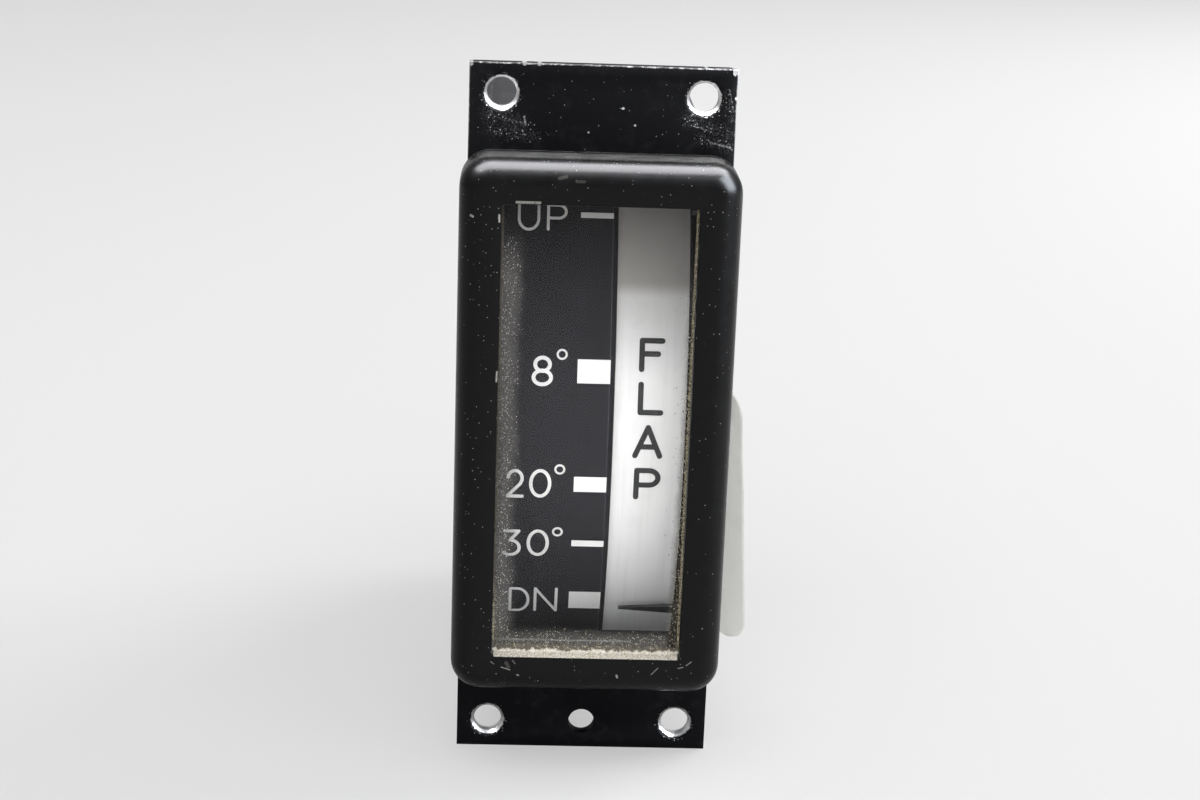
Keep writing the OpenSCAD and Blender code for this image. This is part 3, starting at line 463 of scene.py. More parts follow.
@dataclass(frozen=True)
class EnamelFinish:
    """Satin black on the aluminium flange, worn bare at its edges and screw holes, the bare hole rings with a
    painted highlight on their lower sides.
    """

    name: str
    half_width: float
    half_height: float
    front: float
    hole_x: float
    hole_z: float
    bore_radius: float = 1.75
    bright_width: float = 0.36
    worn_width: float = 0.62
    crumbs_per_mm: float = 4.2
    large_per_mm: float = 2.3
    arris_depth: Point = (0.45, 0.2)
    worn_sides: Point = (30.0, 42.0)
    scuffed_top: Point = (33.0, 34.5)
    chip_fade: float = 0.08
    scuff_core: float = 0.05
    scratch_fade: float = 0.07
    roughness: float = 0.5
    specular: float = 0.05
    black: Colour = linear("0d0d10")
    dusty: Colour = linear("26262a")
    bare: Colour = linear("d2d2d2")
    dull_and_shaded_bare: Colour = linear("9a9796")
    chips: tuple[tuple[Point, float], ...] = (
        ((-15.75, 43.75), 0.42), ((15.75, 43.6), 0.5), ((-9.4, 43.8), 0.26), ((-7.6, 43.8), 0.24),
        ((15.9, 40.4), 0.26), ((2.4, 38.8), 0.12), ((12.1, 43.8), 0.18), ((3.9, 36.8), 0.1),
        ((-1.6, 35.8), 0.1))
    scuffs: tuple[Mark, ...] = (
        ((-13.4, 37.6), (-9.6, 36.4), 2.2), ((-13.0, 35.8), (-8.0, 35.2), 1.5),
        ((10.4, 37.8), (14.8, 36.2), 2.0), ((11.6, 35.4), (15.5, 34.4), 1.4),
        ((14.6, 41.0), (15.4, 38.0), 0.9), ((-13.8, 38.6), (-13.6, 42.2), 0.7))
    scratches: tuple[Mark, ...] = (
        ((10.6, 37.0), (12.4, 36.5), 0.045), ((12.9, 35.0), (15.3, 34.5), 0.08),
        ((2.1, 38.85), (2.5, 38.75), 0.06), ((14.9, 41.4), (15.5, 38.9), 0.05),
        ((-9.3, 37.4), (-9.1, 36.5), 0.06))

    def build(self) -> Material:
        """Builds the material.

        Returns:
            The material.
        """
        g = Graph(self.name)
        fine = g.grain(7.0, seed=3.0)
        ragged = g.grain(1.7, detail=3.0, seed=12.0)
        rings, tone_and_painted_highlight = self._rings(g, ragged)
        chips = union((self._edges(g, ragged, fine), rings, self._wear(g, fine)))
        dust = g.grain(0.6, detail=4.0, seed=21.0).rise(0.5, 0.8) * 0.5
        metal = g.mix(tone_and_painted_highlight, self.dull_and_shaded_bare, self.bare)
        colour = g.mix(chips, g.mix(dust, self.black, self.dusty), metal)
        rough = self.roughness - chips * 0.15 + fine.swing(0.3)
        return g.finish(g.surface(colour, rough, self.specular, Metallic=chips * 0.6,
                                  Normal=g.bump(fine * 0.3 - chips, 0.03, 0.7)))

    def _edges(self, g: Graph, ragged: Field, fine: Field) -> Field:
        """Thin bare line along the upper front arris, bare corners and single chips.

        Args:
            g: The material's graph.
            ragged: Coarse noise.
            fine: Fine noise.

        Returns:
            A mask that is 1 where the edges are bare.
        """
        x, y, z = g.axes
        bite = ragged + fine * 0.5
        arris = (y - self.front).rise(*self.arris_depth)
        upper = (z - self.half_height + bite * 0.16).rise(-0.04, 0.06) * arris
        upper = upper * (0.3 + ragged.rise(0.42, 0.62) * 0.7)
        sides = (abs(x) - self.half_width + bite * 0.2).rise(0.02, 0.1) * z.rise(*self.worn_sides) * 0.55
        chips = ((ragged * size * 2 - g.distance(x, z, place)).rise(-self.chip_fade, self.chip_fade)
                 for place, size in self.chips)
        return union((upper, sides, *chips))

    def _rings(self, g: Graph, ragged: Field) -> tuple[Field, Field]:
        """Bare ragged rings round the four mounting holes.

        Args:
            g: The material's graph.
            ragged: Coarse noise.

        Returns:
            A mask that is 1 where the rings are bare, and their random tone plus a painted highlight on their
            lower sides.
        """
        x, _, z = g.axes
        side = abs(x)
        far = g.distance(side, z, (self.hole_x, self.hole_z)).smallest(
            g.distance(side, z, (self.hole_x, -self.hole_z)))
        # Painted highlight: the bare rings are brighter below the upper holes and at the foot of the lower
        # holes, as if lit from above.
        below = (abs(abs(z) - self.hole_z) * (z - self.hole_z).rise(0.4, -0.4)).rise(0.2, 1.6)
        foot = (z + self.hole_z).rise(0.6, -1.2) * z.rise(0.0, -1.0)
        tone_and_painted_highlight = (ragged.rise(0.4, 0.7) * 0.35 + below * z.rise(30.0, 31.0) + foot).clamped()
        bright = (self.bore_radius + self.bright_width + ragged.swing(0.5) - far).rise(-0.03, 0.08)
        cover = (self.bore_radius + self.worn_width - far).rise(-0.5, 0.5) * 0.4
        crumbs, _ = g.grains(self.crumbs_per_mm, cover, 0.42, seed=6.0)
        return bright.largest(crumbs * 0.5), tone_and_painted_highlight

    def _wear(self, g: Graph, fine: Field) -> Field:
        """Fine scuffs below the upper holes, scattered specks and a few clear scratches.

        Args:
            g: The material's graph.
            fine: Fine noise.

        Returns:
            A mask of how much bare metal shows.
        """
        cover = union(g.stroke(start, end, self.scuff_core, width) for start, end, width in self.scuffs)
        cover = cover * cover
        high = g.axes[2].rise(*self.scuffed_top)
        crumbs, tone = g.grains(self.crumbs_per_mm, cover * 0.26 + high * 0.03, 0.34, seed=9.0)
        large, _ = g.grains(self.large_per_mm, cover * 0.14 + high * 0.06, 0.15, seed=15.0)
        scratches = (g.stroke(start, end, width, self.scratch_fade) * fine.rise(0.42, 0.62) * 0.55
                     for start, end, width in self.scratches)
        return union((crumbs * (0.3 + tone * 0.6), large * 0.8, cover * fine.rise(0.5, 0.75) * 0.22,
                      *scratches))


@dataclass(frozen=True)
class BezelFinish:
    """Semi-gloss black with dust on its top, fine specks and a few knocks."""

    name: str
    window: Point
    front: float
    back: float
    roughness: float = 0.3
    specular: float = 0.17
    mark_fade: float = 0.05
    mark_depth: Point = (0.8, 0.3)
    dust_back: Point = (-1.0, -1.6)
    dust_front: Point = (-5.4, -4.4)
    dust_height: Point = (30.0, 32.0)
    edge_depth: Point = (-0.7, -0.3)
    edge_height: Point = (26.0, 31.0)
    speckled_side: Point = (-11.0, -14.5)
    specks_per_mm: float = 2.9
    large_per_mm: float = 1.1
    dust_per_mm: float = 6.0
    black: Colour = linear("030304")
    dust: Colour = linear("a4a4a2")
    bare: Colour = linear("c9c7c0")
    sealant: Colour = linear("e4ded2")
    dark_sealant: Colour = linear("a79f8a")
    marks: tuple[tuple[Point, Point, float, float], ...] = (
        ((-9.9, 28.68), (-7.2, 28.68), 0.13, 0.5), ((-11.9, 27.1), (-11.88, 26.3), 0.08, 0.8),
        ((-11.77, 8.1), (-11.8, 6.9), 0.07, 0.7), ((9.0, -29.5), (8.2, -30.4), 0.03, 0.35),
        ((-10.4, -29.8), (-9.3, -30.15), 0.03, 0.5), ((-11.7, -29.1), (-11.3, -29.4), 0.03, 0.35),
        ((-9.8, -29.2), (-9.5, -29.8), 0.2, 0.09), ((-9.0, -28.9), (-8.7, -29.3), 0.04, 0.25),
        ((11.5, -29.5), (12.1, -29.35), 0.04, 0.35), ((12.5, -29.1), (13.1, -28.6), 0.03, 0.45),
        ((3.9, -30.6), (4.0, -30.9), 0.09, 0.5), ((-8.4, -30.8), (-8.25, -30.85), 0.07, 0.55),
        ((-15.2, 26.9), (-15.0, 26.8), 0.12, 0.5), ((-5.0, 31.6), (-4.2, 31.8), 0.16, 0.1),
        ((-3.0, 31.3), (-2.1, 31.3), 0.14, 0.08))

    def build(self) -> Material:
        """Builds the material.

        Returns:
            The material.
        """
        g = Graph(self.name)
        x, y, z = g.axes
        fine = g.grain(6.0, seed=31.0)
        soft = g.grain(0.5, detail=3.0, seed=17.0)
        up = g.split(g.value("ShaderNodeNewGeometry", output="Normal"))[2]
        top_dust = self._top_dust(g, up, soft)
        edge = (y - self.back).rise(*self.edge_depth) * z.rise(*self.edge_height)
        edge = edge * (fine + soft * 0.4).rise(0.55, 0.75)
        share = 0.09 + soft.rise(0.5, 0.7) * 0.12 + x.rise(*self.speckled_side) * 0.1
        specks, tones = g.grains(self.specks_per_mm, share, 0.19, seed=41.0)
        larger, _ = g.grains(self.large_per_mm, 0.12, 0.09, seed=44.0)
        marks = union(g.stroke(start, end, width, self.mark_fade) * strength
                      for start, end, width, strength in self.marks)
        marks = marks * (fine + 0.42).rise(0.6, 0.9) * (y - self.front).rise(*self.mark_depth)
        ledge = self._ledge(g, up, fine)
        colour = g.mix(top_dust.largest(edge * 0.6), self.black, self.dust)
        colour = g.mix(union((specks * (0.2 + tones * 0.6), larger * 0.75, marks)), colour, self.bare)
        grit = g.grain(9.0, detail=1.0, seed=38.0).rise(0.4, 0.6)
        colour = g.mix(ledge, colour, g.mix(grit, self.dark_sealant, self.sealant))
        rough = self.roughness + soft.swing(0.16) + top_dust * 0.4 + ledge * 0.4
        return g.finish(g.surface(colour, rough, self.specular,
                                  Normal=g.bump(fine + marks * 2.0, 0.012, 0.6)))

    def _top_dust(self, g: Graph, up: Field, soft: Field) -> Field:
        """Dust in a band along the frame's upper side.

        Args:
            g: The material's graph.
            up: How much the surface faces up.
            soft: Coarse noise.

        Returns:
            A mask of the dust.
        """
        _, y, z = g.axes
        depth = y - self.back
        rear = depth.rise(*self.dust_back) * depth.rise(*self.dust_front)
        high = z.rise(*self.dust_height)
        cover = up.rise(0.75, 0.95) * high * (0.05 + rear * 0.42)
        crumbs, tone = g.grains(self.dust_per_mm, cover, 0.55, seed=33.0)
        film = rear * up.rise(0.85, 0.97) * high * (0.02 + soft * 0.42)
        return (crumbs * (0.4 + tone * 0.6)).largest(film)

    def _ledge(self, g: Graph, up: Field, fine: Field) -> Field:
        """Sealant left on the window's lower edge.

        Args:
            g: The material's graph.
            up: How much the surface faces up.
            fine: Fine noise.

        Returns:
            A mask of the sealant.
        """
        x, _, z = g.axes
        height = z + self.window[1]
        between = (self.window[0] + 0.05 - abs(x)).rise(0.0, 0.1)
        return (up.rise(0.8, 0.99) * height.rise(0.6, 0.2) * height.rise(-1.0, -0.5) * between
                * (fine + 0.12).rise(0.45, 0.6))


@dataclass(frozen=True)
class DialFinish:
    """Matt black sheet whose raised blocks are printed white, with a painted highlight line just inside the
    bevel at its edge.
    """

    name: str
    pivot: Point
    radius: float
    edge_x: float
    printed_over: Point = (0.015, 0.035)
    painted_highlight_inset: float = 0.06
    painted_highlight_width: Point = (0.1, 0.04)
    roughness: float = 0.75
    specular: float = 0.03
    black: Colour = linear("272629")
    worn: Colour = linear("55545a")
    white: Colour = linear("dedddb")

    def build(self) -> Material:
        """Builds the material.

        Returns:
            The material.
        """
        g = Graph(self.name)
        x, y, z = g.axes
        fine = g.grain(9.0, seed=41.0)
        printed = g.distance(y, z, self.pivot).rise(*(self.radius + over for over in self.printed_over))
        # Painted highlight: a thin lighter line just inside the edge bevel, in the worn colour that also
        # tints the sheet's specks.
        line = abs(x - self.edge_x + self.painted_highlight_inset).rise(*self.painted_highlight_width) * fine.rise(0.35, 0.6)
        colour = g.mix(line * 0.7, g.mix(fine.rise(0.6, 0.8) * 0.25, self.black, self.worn), self.worn)
        colour = g.mix(printed, colour, self.white)
        return g.finish(g.surface(colour, self.roughness, self.specular, Normal=g.bump(fine, 0.006, 0.5)))


@dataclass(frozen=True)
class StripFinish:
    """Matt white sheet with faint upright streaks, a painted shadow along its left edge and painted shade
    over its top.
    """

    name: str
    left_x: float
    left_band: Point = (1.2, 0.0)
    painted_shade_band: Point = (7.0, 14.5)
    painted_lip_shadow_band: Point = (14.8, 16.8)
    roughness: float = 0.7
    specular: float = 0.02
    white: Colour = linear("dededd")
    grey: Colour = linear("bfbebc")
    painted_shadow_grey: Colour = linear("908b84")

    def build(self) -> Material:
        """Builds the material.

        Returns:
            The material.
        """
        g = Graph(self.name)
        x, _, z = g.axes
        streaks = g.grain(1.1, detail=3.0, seed=51.0, stretch=(1.0, 0.04, 0.04))
        fine = g.grain(8.0, seed=55.0)
        # Painted shadow: the strip greys in a band along its left edge, where the black sheet's edge shades
        # it; the streaks are the sheet's own tone.
        left = (x - self.left_x).rise(*self.left_band)
        shade = (streaks.rise(0.45, 0.75) * 0.35 + left * 0.5).clamped()
        # Painted shade: the strip turns greyer from about 7 mm up and warm grey above about 15 mm, where the
        # bezel's lip shades it.
        toned = z.rise(*self.painted_shade_band) * 0.22 + z.rise(*self.painted_lip_shadow_band) * 0.55
        colour = g.mix(toned, g.mix(shade, self.white, self.grey), self.painted_shadow_grey)
        return g.finish(g.surface(colour, self.roughness, self.specular, Normal=g.bump(fine, 0.005, 0.5)))


@dataclass(frozen=True)
class GlassFinish:
    """Clear flat glass that lets light through to the dial."""

    name: str
    tint: Colour = (0.985, 0.98, 0.97)
    smeared: Colour = (0.945, 0.94, 0.93)
    index: float = 1.2

    def build(self) -> Material:
        """Builds the material.

        Returns:
            The material.
        """
        g = Graph(self.name)
        smear = g.grain(0.4, detail=3.0, seed=61.0).rise(0.45, 0.75)
        pane = g.surface(g.mix(smear, self.tint, self.smeared), 0.0, Transmission_Weight=1.0, IOR=self.index)
        clear = g.shader("ShaderNodeBsdfTransparent", {0: self.tint})
        return g.finish(g.blend(g.value("ShaderNodeLightPath", output="Is Shadow Ray"), pane, clear))


@dataclass(frozen=True)
class SealantFinish:
    """Aged bead: pale crust along the foot, thin and browned up the sides."""

    name: str
    half_height: float
    crumbs_per_mm: float = 3.4
    pale_foot: Point = (0.42, 0.2)
    foot_top: Point = (0.5, 2.4)
    pale_left: Point = (-24.0, -18.0)
    roughness: float = 0.85
    specular: float = 0.12
    pale: Colour = linear("eae6dd")
    yellow: Colour = linear("b3aa90")
    grey: Colour = linear("605b50")
    brown: Colour = linear("413c31")

    def build(self) -> Material:
        """Builds the material.

        Returns:
            The material.
        """
        g = Graph(self.name)
        x, _, z = g.axes
        height = z + self.half_height
        grit = g.grain(5.0, detail=3.0, seed=66.0)
        wave = g.grain(0.9, detail=3.0, seed=68.0, stretch=(1.0, 1.0, 0.2))
        crumbs, tone = g.grains(self.crumbs_per_mm, 0.65, 0.48, seed=69.0)
        browned = 1.0 - x.rise(0.0, -1.0) * z.rise(*self.pale_left) * 0.9
        toned = g.mix((grit.rise(0.4, 0.6) * browned).clamped(), self.brown, self.yellow)
        low = (height + wave.swing(1.5) + grit.swing(0.5)).rise(*self.pale_foot)
        crust = g.mix(crumbs * (0.3 + tone * 0.7), self.grey, self.yellow)
        foot = g.mix(low, crust, g.mix(grit.rise(0.36, 0.52), self.yellow, self.pale))
        colour = g.mix(height.rise(*self.foot_top), foot, toned)
        return g.finish(g.surface(colour, self.roughness, self.specular, Normal=g.bump(grit, 0.05, 0.8)))


@dataclass(frozen=True)
class GritFinish:
    """Yellowed grit and dust that has gathered along the window's edges, with a painted shadow under the
    brown haze of the right band.
    """

    name: str
    window: Point
    front: float
    left_band: Point = (3.1, 0.9)
    left_end: Point = (25.8, 19.0)
    foot_band: Point = (3.6, 0.8)
    brim_band: Point = (0.7, 0.35)
    right_band: Point = (1.2, 0.3)
    stray_band: Point = (2.4, 0.8)
    right_end: Point = (25.0, 8.0)
    right_lean: Point = (6.0, -24.0)
    film_front: Point = (0.006, 0.002)
    small_per_mm: float = 6.2
    large_per_mm: float = 3.5
    roughness: float = 0.9
    specular: float = 0.02
    haze_grey: Colour = linear("8e8c89")
    dust_and_painted_shadow_brown: Colour = linear("524c42")
    dull: Colour = linear("8f8a7c")
    pale: Colour = linear("e3e0d8")
    yellow: Colour = linear("efeadb")

    def build(self) -> Material:
        """Builds the material.

        Returns:
            The material.
        """
        g = Graph(self.name)
        x, y, z = g.axes
        height = z + self.window[1]
        cloud = g.grain(0.35, seed=74.0)
        wobble = cloud.swing(1.8)
        left = (x + self.window[0] + wobble).rise(*self.left_band) * z.rise(*self.left_end)
        foot = (height + wobble * 0.8).rise(*self.foot_band)
        reach = self.window[0] - x + wobble * 0.4 - z.rise(*self.right_lean) * 0.6
        low = z.rise(*self.right_end)
        right = reach.rise(*self.right_band) * low
        dense = union((left, foot, right))
        brim = (height + cloud.swing(1.0)).rise(*self.brim_band)
        stray = reach.rise(*self.stray_band) * low
        share = dense * 0.26 + foot * 0.24 + stray * 0.12 + 0.014
        small, small_tone = g.grains(self.small_per_mm, dense * 0.5 + brim * 0.4, 0.46, seed=13.0)
        large, large_tone = g.grains(self.large_per_mm, share, 0.34, seed=29.0)
        grains = small.largest(large)
        veil = dense * 0.5 * (0.7 + cloud * 0.6)
        mask = union((grains * (0.55 + small_tone * 0.4), veil, brim * 0.62)).clamped()
        tone = (small * small_tone).largest(large * (0.4 + large_tone * 0.6))
        lit = g.mix(brim.largest(foot * 0.8), self.pale, self.yellow)
        # The right band's dark brown base is brown dust with a painted shadow between the strip's edge and
        # the bezel's wall.
        base = g.mix(brim, g.mix(right, self.haze_grey, self.dust_and_painted_shadow_brown), self.dull)
        dust = g.surface(g.mix((tone * grains).clamped(), base, lit), self.roughness, self.specular)
        clear = g.shader("ShaderNodeBsdfTransparent")
        return g.finish(g.blend(mask * (y - self.front).rise(*self.film_front), clear, dust))


@dataclass(frozen=True)
class LabelFinish:
    """Pale paper, a little soiled, that lets some light through."""

    name: str
    roughness: float = 0.75
    specular: float = 0.05
    through: float = 0.5
    paper: Colour = linear("f3f3f1")
    soiled: Colour = linear("e0dfdb")

    def build(self) -> Material:
        """Builds the material.

        Returns:
            The material.
        """
        g = Graph(self.name)
        fibres = g.grain(5.0, detail=3.0, seed=81.0, stretch=(1.0, 0.5, 1.0))
        clouds = g.grain(0.14, detail=3.0, seed=84.0)
        marks = g.specks(0.5, 0.1, 0.09, seed=86.0) * g.axes[2].rise(2.0, -6.0) * 0.6
        shade = (clouds.rise(0.45, 0.75) * 0.5 + fibres.rise(0.5, 0.8) * 0.2 + marks).clamped()
        colour = g.mix(shade, self.paper, self.soiled)
        normal = g.bump(fibres, 0.02, 0.6)
        sheet = g.surface(colour, self.roughness, self.specular, Normal=normal)
        glow = g.shader("ShaderNodeBsdfTranslucent", {"Color": colour, "Normal": normal})
        return g.finish(g.blend(self.through, sheet, glow))


@dataclass(frozen=True)
class CaseFinish:
    """Satin black over drawn aluminium, rubbed along its long edges."""

    name: str
    half_width: float
    half_height: float
    edge_reach: float = 1.2
    roughness: float = 0.5
    specular: float = 0.08
    black: Colour = linear("1f1f22")
    dusty: Colour = linear("3b3b3d")
    bare: Colour = linear("a9aaac")

    def build(self) -> Material:
        """Builds the material.

        Returns:
            The material.
        """
        g = Graph(self.name)
        x, _, z = g.axes
        fine = g.grain(4.0, detail=3.0, seed=91.0)
        clouds = g.grain(0.12, detail=4.0, seed=93.0)
        drawn = g.grain(2.5, seed=95.0, stretch=(1.0, 0.03, 1.0))
        corner = ((abs(x) - self.half_width + self.edge_reach).rise(0.0, 1.0)
                  * (abs(z) - self.half_height + self.edge_reach).rise(0.0, 1.0))
        rubbed = corner * (fine * 0.6 + clouds * 0.4).rise(0.5, 0.56) * 0.8
        drag = drawn.rise(0.62, 0.7) * clouds.rise(0.5, 0.6) * 0.25
        dust = clouds.rise(0.45, 0.7) * 0.5 + g.specks(0.8, 0.15, 0.08, seed=97.0) * 0.4
        colour = g.mix((rubbed + drag).clamped(), g.mix(dust, self.black, self.dusty), self.bare)
        return g.finish(g.surface(colour, self.roughness + clouds.swing(0.3), self.specular,
                                  Metallic=rubbed * 0.8, Normal=g.bump(fine, 0.015, 0.6)))


@dataclass(frozen=True)
class WindingFinish:
    """Lacquered copper wire wound in close turns."""

    name: str
    wire_mm: float = 0.16
    roughness: float = 0.35
    copper: Colour = linear("b4623a")
    gap: Colour = linear("4a1f10")

    def build(self) -> Material:
        """Builds the material.

        Returns:
            The material.
        """
        g = Graph(self.name)
        turns = (g.axes[1] * (math.tau / self.wire_mm)).sine() * 0.5 + 0.5
        colour = g.mix(turns.rise(0.05, 0.5), self.gap, self.copper)
        return g.finish(g.surface(colour, self.roughness, Metallic=0.7, Normal=g.bump(turns, 0.03, 0.7)))


class Shape:
    """Points and faces gathered in millimetres and turned into one mesh piece."""

    CORNERS = ((0, 2, 4), (2, 1, 4), (1, 3, 4), (3, 0, 4), (2, 0, 5), (1, 2, 5), (3, 1, 5), (0, 3, 5))

    def __init__(self) -> None:
        """Starts empty."""
        self.points: list[Vector] = []
        self.faces: list[tuple[int, ...]] = []

    def loft(self, loops: Sequence[Loop], ring: bool = False) -> None:
        """Joins closed loops with equal numbers of points.

        Args:
            loops: The loops in order.
            ring: Whether the last loop joins the first again; if not, both get faces.
        """
        first = len(self.points)
        count = len(loops[0])
        for loop in loops:
            self.points.extend(loop)
        for i in range(len(loops) if ring else len(loops) - 1):
            low, high = first + i * count, first + (i + 1) % len(loops) * count
            for j in range(count):
                k = (j + 1) % count
                self.faces.append((low + j, low + k, high + k, high + j))
        if not ring:
            last = first + (len(loops) - 1) * count
            self.faces.append(tuple(first + j for j in reversed(range(count))))
            self.faces.append(tuple(last + j for j in range(count)))

    def octahedron(self, centre: Vector, size: float, turn: Matrix) -> None:
        """Adds one small grain.

        Args:
            centre: Its middle.
            size: Distance from its middle to its corners.
            turn: Its rotation.
        """
        first = len(self.points)
        for axis in range(3):
            for side in (-1, 1):
                arm = Vector((0, 0, 0))
                arm[axis] = side * size
                self.points.append(centre + turn @ arm)
        self.faces += [tuple(first + corner for corner in face) for face in self.CORNERS]

    def build(self, name: str, material: Material, slot: Slot, sharp: float = 35.0,
              node: str | None = None) -> None:
        """Makes the mesh piece.

        Args:
            name: Name of the piece.
            material: Its finish.
            slot: The record's slot of the finish; not used.
            sharp: Edges over this angle, in degrees, stay sharp.
            node: The frame's node that the piece replaces, if any.
        """
        mesh = bpy.data.meshes.new(name)
        mesh.from_pydata([tuple(p * MM) for p in self.points], [], self.faces)
        dress_mesh(mesh, name, material, sharp, node)


def dress_mesh(mesh: bpy.types.Mesh, name: str, material: Material, sharp: float,
               node: str | None) -> None:
    """Turns a mesh into a piece with outward faces, smooth shading, a finish and a body.

    Args:
        mesh: The mesh, in metres.
        name: Name of the piece.
        material: Its finish.
        sharp: Edges over this angle, in degrees, stay sharp.
        node: The frame's node that the piece replaces, if any.
    """
    work = bmesh.new()
    work.from_mesh(mesh)
    bmesh.ops.recalc_face_normals(work, faces=work.faces)
    work.to_mesh(mesh)
    work.free()
    mesh.materials.clear()
    mesh.materials.append(material)
    mesh.shade_smooth()
    mesh.set_sharp_from_angle(angle=math.radians(sharp))
    piece = bpy.data.objects.new(name, mesh)
    bpy.context.scene.collection.objects.link(piece)
    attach(piece, BODY)
    if node:
        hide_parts(node)
    LOG.info("piece %s: %d faces on %s", name, len(mesh.polygons), BODY)


def dress_node(node: str, material: Material) -> None:
    """Gives a node of the frame its finish.

    Args:
        node: The node's name.
        material: The finish.
    """
    for place in frame["nodes"][node].material_slots:
        place.material = material
    LOG.info("node %s: %s", node, material.name)


def soften(node: str, name: str, material: Material, width: float) -> None:
    """Replaces a node by the same form with its sharp edges broken.

    Args:
        node: The frame's node.
        name: Name of the new piece.
        material: Its finish.
        width: Width of the broken edges in millimetres.
    """
    same_place, same_plane, hard_edge, sharp = 1e-7, math.radians(0.5), math.radians(32), 30.0
    mesh = frame["nodes"][node].data.copy()
    work = bmesh.new()
    work.from_mesh(mesh)
    bmesh.ops.remove_doubles(work, verts=work.verts, dist=same_place)
    bmesh.ops.dissolve_limit(work, angle_limit=same_plane, verts=work.verts, edges=work.edges)
    hard = [e for e in work.edges if e.is_manifold and e.calc_face_angle(0.0) > hard_edge]
    bmesh.ops.bevel(work, geom=hard, offset=width * MM, segments=2, profile=0.5, affect="EDGES",
                    clamp_overlap=True)
    bmesh.ops.triangulate(work, faces=[f for f in work.faces if len(f.verts) > 4])
    work.to_mesh(mesh)
    work.free()
    dress_mesh(mesh, name, material, sharp, node)


def rounded_loop(half_width: float, half_height: float, radius: float, y: float, steps: int = 10) -> Loop:
    """A rectangle with round corners at one depth, in millimetres.

    Args:
        half_width: Half its size in x.
        half_height: Half its size in z.
        radius: Radius of its corners.
        y: Its depth.
        steps: Steps round a corner.

    Returns:
        The loop's points.
    """
    loop = []
    for corner, (side, end) in enumerate(((1, 1), (-1, 1), (-1, -1), (1, -1))):
        for i in range(steps + 1):
            angle = math.radians(90 * (corner + i / steps))
            loop.append(Vector((side * (half_width - radius) + radius * math.cos(angle), y,
                                end * (half_height - radius) + radius * math.sin(angle))))
    return loop


def circle(radius: float, y: float, z: float, steps: int) -> Loop:
    """A circle about an axis along y."""
    return [Vector((radius * math.cos(math.tau * i / steps), y, z + radius * math.sin(math.tau * i / steps)))
            for i in range(steps)]


@dataclass
class NodeBox:
    """The box of a node in millimetres."""

    low: Vector
    high: Vector

    @classmethod
    def of(cls, node: str) -> "NodeBox":
        """Reads a node's box from the frame."""
        low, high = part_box(node)
        return cls(Vector(low) / MM, Vector(high) / MM)

    @staticmethod
    def later(node: str) -> Any:
        """A dataclass field that reads a node's box."""
        return field(default_factory=lambda: NodeBox.of(node))


@dataclass
class Layout:
    """Sizes that several sub-assemblies share, in millimetres.

    The boxes are read from the frame, and window holds half its width and half its height.
    """

    plate: NodeBox = NodeBox.later("mounting_plate")
    bezel: NodeBox = NodeBox.later("bezel")
    glass: NodeBox = NodeBox.later("window_glass")
    retainer: NodeBox = NodeBox.later("glass_retainer")
    bead: NodeBox = NodeBox.later("sealant_bead")
    case: NodeBox = NodeBox.later("case_shell")
    label: NodeBox = NodeBox.later("side_label")
    dial: NodeBox = NodeBox.later("dial_plate")
    board: NodeBox = NodeBox.later("terminal_board")
    nuts: NodeBox = NodeBox.later("terminal_nuts")
    studs: NodeBox = NodeBox.later("terminal_studs")
    window: Point = (11.6, 28.4)

    @property
    def pivot(self) -> Point:
        """Depth and height of the pointer's axis."""
        hinge = frame["joints"][0]["pos_m"]
        return hinge[1] / MM, hinge[2] / MM

    @property
    def dial_radius(self) -> float:
        """Radius of the black sheet's face."""
        return self.pivot[0] - self.plate.low.y


@dataclass
class Flange:
    """Aluminium mounting plate with worn black finish."""

    layout: Layout
    hole_x: float = 12.0
    hole_z: float = 40.25
    edge: float = 0.1

    def build(self) -> None:
        """Builds the plate with broken edges."""
        box = self.layout.plate
        enamel = EnamelFinish("worn_enamel", box.high.x, box.high.z, box.low.y, self.hole_x, self.hole_z)
        soften("mounting_plate", "flange_plate", enamel.build(), self.edge)


